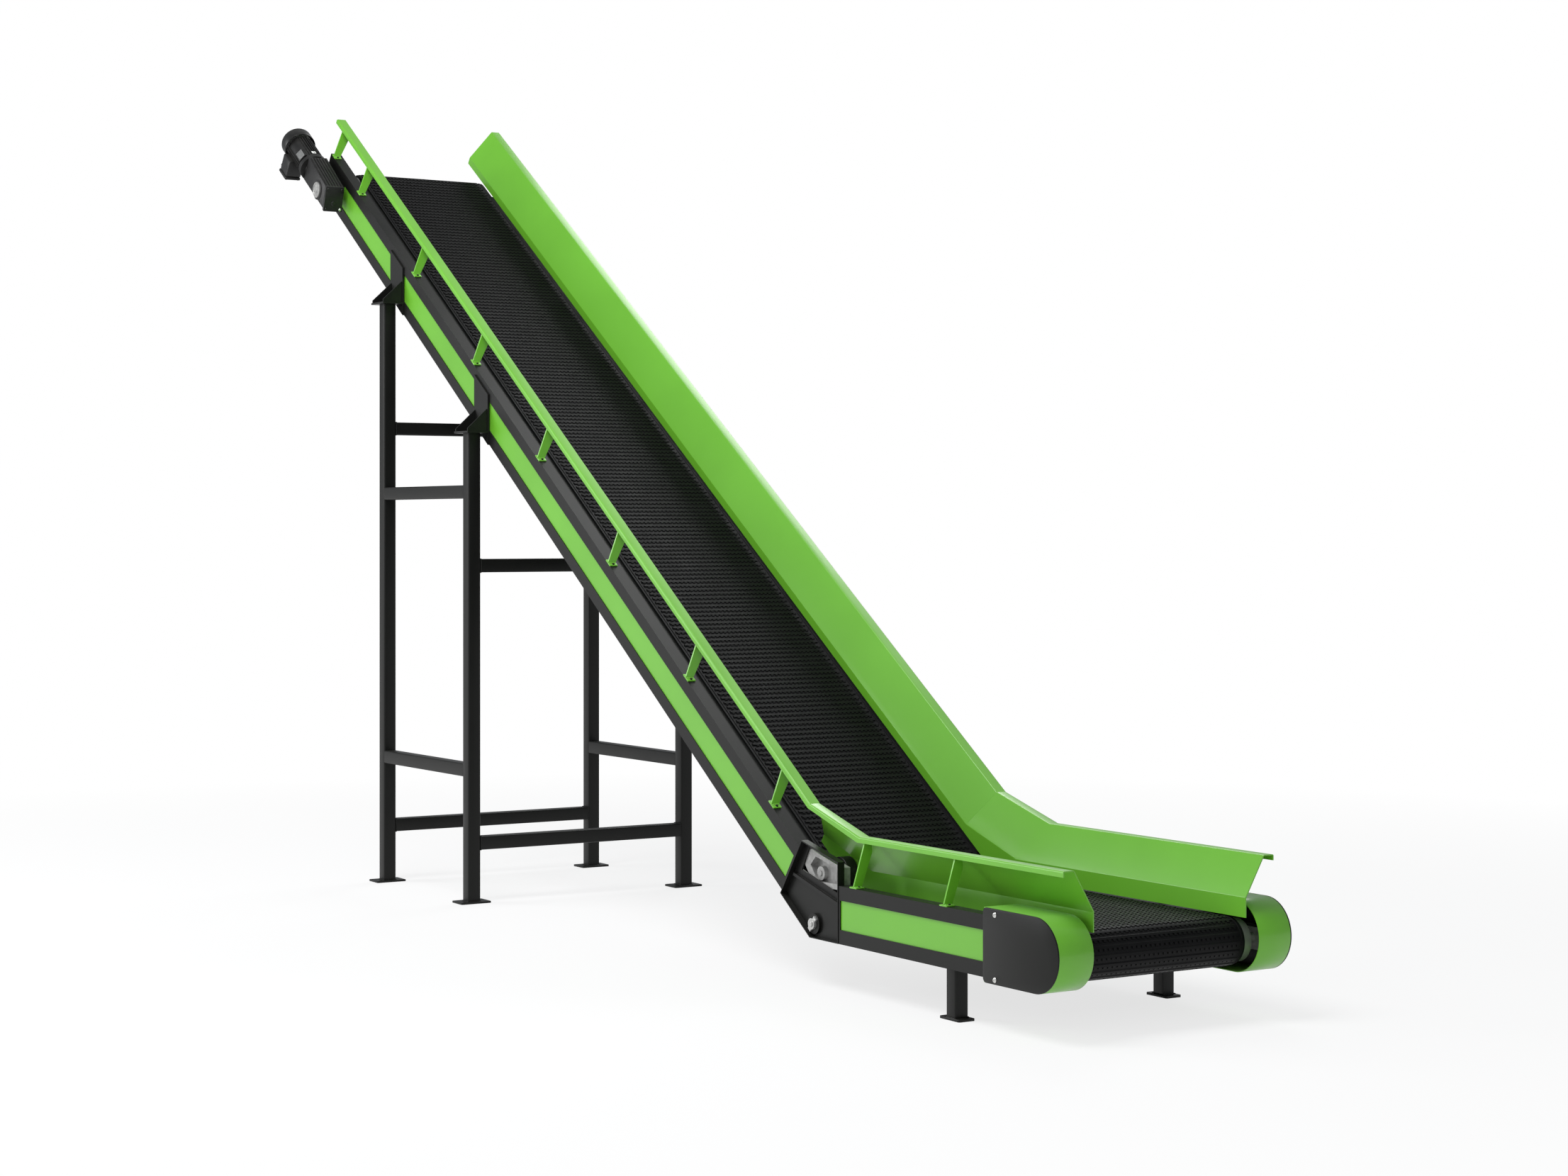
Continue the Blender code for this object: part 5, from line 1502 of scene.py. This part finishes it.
    def _terminal_box(self) -> float:
        """The terminal box with its lid and screws.

        Returns:
            The place along the climb of the end that the cable gland sits on.
        """
        climb = self.climb
        length, width, height = self.box_size
        start = self.axle.x + self.rear + RUNNING_GAP + self.box_at[0]
        inner, top = self.worm.y + self.box_at[1], self.worm.z + self.box_at[2]
        low, high = (start, inner, top - height), (start + length, inner + width, top)
        box = Solid("terminal_box_with_lid")
        box.block(
            (low[0] + 0.004, low[1], low[2] + 0.018), (high[0] - 0.004, high[1] - 0.004, high[2]),
            ENAMEL, climb, 0.007, 3,
        )
        box.block(low, (high[0], high[1], low[2] + 0.017), ENAMEL, climb, 0.005, 3)
        for s in (low[0] + 0.012, high[0] - 0.012):
            for w in (low[1] + 0.012, high[1] - 0.012):
                box.bolt((s, w, low[2] + 0.0005), 0.006, ZINC, climb, Axis.UP, -1.0)
        box.build("frame", ["terminal_box"])
        return high[0]

    def _gland(self, end: float) -> None:
        """The cable gland: a hexagon nut and its cap.

        Args:
            end: the place along the climb of the face that it sits on.
        """
        low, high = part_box("cable_gland")
        centre = self.climb.inverted() @ ((low + high) / 2.0)
        here = self.climb @ Matrix.Translation((0.0, centre.y, centre.z))
        seat = end + RUNNING_GAP
        gland = Solid("cable_gland_turned")
        nut = along(seat, (0.0, 0.0), (0.0128, 0.0), (0.0128, 0.007), (0.0115, 0.008), (0.0, 0.008))
        gland.turn(nut, PLASTIC, here, Axis.ALONG, 6)
        cap = along(
            seat, (0.0, 0.0075), (0.0100, 0.0075), (0.0100, 0.016), (0.0086, 0.021),
            (0.0075, 0.0236), (0.0045, 0.0236), (0.0045, 0.020), (0.0, 0.020),
        )
        gland.turn(cap, PLASTIC, here, Axis.ALONG, 28)
        gland.build("frame", ["cable_gland"])


# ---- the rest of the frame ----------------------------------------------------------
@dataclass
class Fittings:
    """Small fastenings and welds on the nodes that keep the frame's own meshes."""

    lines: Lines
    plate_face: float = 0.551
    frame_face: float = 0.575
    rib_tops: tuple[Point2, Point2] = ((-0.104, -0.079), (0.252, 0.0155))
    rib_depth: float = 0.0125
    flange: float = 0.014
    bolt_reach: float = 0.040  # from the shaft to each bolt, along the run and square to it

    def build(self) -> None:
        """Dresses every node that still shows, and adds the fastenings."""
        self._dress_nodes()
        for side in Side:
            self._knee(side)
            self._bearing(side)

    def _dress_nodes(self) -> None:
        """Gives each of the frame's own meshes its finish, from its slot in the record."""
        slots = {entry["node"]: entry["material_slot"] for entry in frame["record"]["subparts"]}
        for name, node in frame["nodes"].items():
            material = BY_SLOT[slots[name]].material()
            if not node.material_slots:
                node.data.materials.append(material)
            for slot in node.material_slots:
                slot.material = material

    def _knee(self, side: Side) -> None:
        """Weld beads along the two edges of the bend plate's rib."""
        piece = Solid(f"knee_fastenings_{side.label}")
        for drop in (0.0, self.rib_depth):
            path = [(s, self.plate_face, n - drop) for s, n in self.rib_tops]
            piece.bead(path, 0.0026, BLACK, self.lines.level(side))
        piece.build("frame")

    def _bearing(self, side: Side) -> None:
        """The head bearing's flange bolts, without the two that the gearbox hides."""
        climb = self.lines.climb(side)
        axle = self.lines.climb().inverted() @ self.lines.at_joint("head_drum_spin")
        piece = Solid(f"head_bearing_bolts_{side.label}")
        for s, n in rectangle(2.0 * self.bolt_reach, 2.0 * self.bolt_reach):
            if side is Side.RIGHT or s < 0.0:
                seat = (axle.x + s, self.frame_face + RUNNING_GAP + self.flange, axle.z + n)
                piece.bolt(seat, 0.008, ZINC, climb, Axis.ACROSS, 1.0)
        piece.build("frame")


# ---- studio -------------------------------------------------------------------------
@dataclass
class Studio:
    """The floor, the soft light and the camera."""

    lines: Lines
    lens: float = 64.61
    drop: float = 0.0393
    yaw: float = math.radians(32.22)
    back: float = 10.0025
    aside: float = 7.078
    height: float = 1.960
    aim: Point3 = (0.0, 0.0, 1.4)  # what the lamps look at
    floor_half: float = 60.0
    floor_shade: float = 0.86
    fade: Point2 = (3.0, 8.5)  # from the first radius to the second the floor turns plain white
    fade_share: float = 0.74
    daylight: float = 0.34

    def build(self) -> None:
        """Makes the floor, the world, the lamps and the camera."""
        scene = bpy.context.scene
        scene.view_settings.view_transform = "Standard"
        self._floor()
        self._world(scene)
        self._lamp("key", (-1.8, 4.6, 9.5), 5.0, 720.0)
        self._lamp("side", (6.5, 8.5, 4.6), 5.0, 420.0)
        self._lamp("rim", (4.5, -5.5, 8.0), 4.0, 240.0)
        self._lamp("fill", (-8.5, 6.0, 4.0), 5.0, 90.0)
        self._camera(scene)

    def _floor(self) -> None:
        """A pale floor that shows white to the camera and keeps the shadow."""
        mesh = bpy.data.meshes.new("studio_floor")
        corners = rectangle(2.0 * self.floor_half, 2.0 * self.floor_half)
        mesh.from_pydata([(x, y, 0.0) for x, y in corners], [], [(0, 1, 2, 3)])
        floor = bpy.data.objects.new("studio_floor", mesh)
        bpy.context.scene.collection.objects.link(floor)
        pale = bpy.data.materials.new("studio floor")
        pale.use_nodes = True
        tree = pale.node_tree
        shader = tree.nodes["Principled BSDF"]
        shade = (self.floor_shade, self.floor_shade, self.floor_shade, 1.0)
        fill(tree, shader, {"Base Color": shade, "Roughness": 0.9, "Specular IOR Level": 0.0})
        path = add(tree, "LightPath", {}).outputs
        rays = {0: path["Is Camera Ray"], 1: path["Is Glossy Ray"]}
        seen = add(tree, "Math", rays, operation="MAXIMUM").outputs["Value"]
        place = add(tree, "TexCoord", {}).outputs["Object"]
        away = add(tree, "VectorMath", {0: place}, operation="LENGTH").outputs["Value"]
        near, far = self.fade
        faded = {"Value": away, "From Min": near, "From Max": far, "To Min": self.fade_share}
        fade = add(tree, "MapRange", faded).outputs["Result"]
        share = add(tree, "Math", {0: seen, 1: fade}, operation="MULTIPLY").outputs["Value"]
        glow = add(tree, "Emission", {"Strength": 1.0}).outputs["Emission"]
        mix = add(tree, "MixShader", {"Fac": share, 1: shader.outputs["BSDF"], 2: glow})
        fill(tree, tree.nodes["Material Output"], {"Surface": mix.outputs["Shader"]})
        mesh.materials.append(pale)

    def _world(self, scene: bpy.types.Scene) -> None:
        """A soft world that the camera sees as white."""
        world = bpy.data.worlds.new("studio")
        scene.world = world
        world.use_nodes = True
        tree = world.node_tree
        soft = tree.nodes["Background"]
        fill(tree, soft, {"Color": (0.93, 0.96, 1.0, 1.0), "Strength": self.daylight})
        white = add(tree, "Background", {"Color": (1.0, 1.0, 1.0, 1.0), "Strength": 1.0})
        seen = add(tree, "LightPath", {}).outputs["Is Camera Ray"]
        layers = {"Fac": seen, 1: soft.outputs["Background"], 2: white.outputs["Background"]}
        mix = add(tree, "MixShader", layers)
        fill(tree, tree.nodes["World Output"], {"Surface": mix.outputs["Shader"]})

    def _lamp(self, name: str, place: Point3, size: float, power: float) -> None:
        """A square soft lamp that looks at the middle of the machine.

        Args:
            name: the lamp's name.
            place: where it stands.
            size: the side of its square, in metres.
            power: its power, in watts.
        """
        light = bpy.data.lights.new(name, "AREA")
        light.shape = "SQUARE"
        light.size = size
        light.energy = power
        lamp = bpy.data.objects.new(name, light)
        bpy.context.scene.collection.objects.link(lamp)
        lamp.location = place
        aim = Vector(self.aim) - Vector(place)
        lamp.rotation_euler = aim.to_track_quat("-Z", "Y").to_euler()

    def _camera(self, scene: bpy.types.Scene) -> None:
        """A level camera a little below half the machine's height, off the infeed's left."""
        lens = bpy.data.cameras.new("camera")
        lens.sensor_width = 36.0
        lens.lens = self.lens
        lens.shift_y = -self.drop
        camera = bpy.data.objects.new("camera", lens)
        scene.collection.objects.link(camera)
        knee = self.lines.knee
        camera.location = (knee.x - self.back, knee.y + self.aside, self.height)
        camera.rotation_euler = (math.pi / 2.0, 0.0, -math.pi / 2.0 - self.yaw)
        scene.camera = camera


def main() -> None:
    """Builds each sub-assembly in turn, then the studio."""
    logging.basicConfig(level=logging.INFO, format="%(name)s: %(message)s")
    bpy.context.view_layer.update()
    lines = Lines(frame)
    makers: list[Callable[[Lines], object]] = [
        GripBelt, Rollers, Guards, Trestle, Tail, Gearmotor, Fittings, Studio,
    ]
    for maker in makers:
        log.info("building %s", maker.__name__)
        maker(lines).build()


if __name__ == "__main__":
    main()
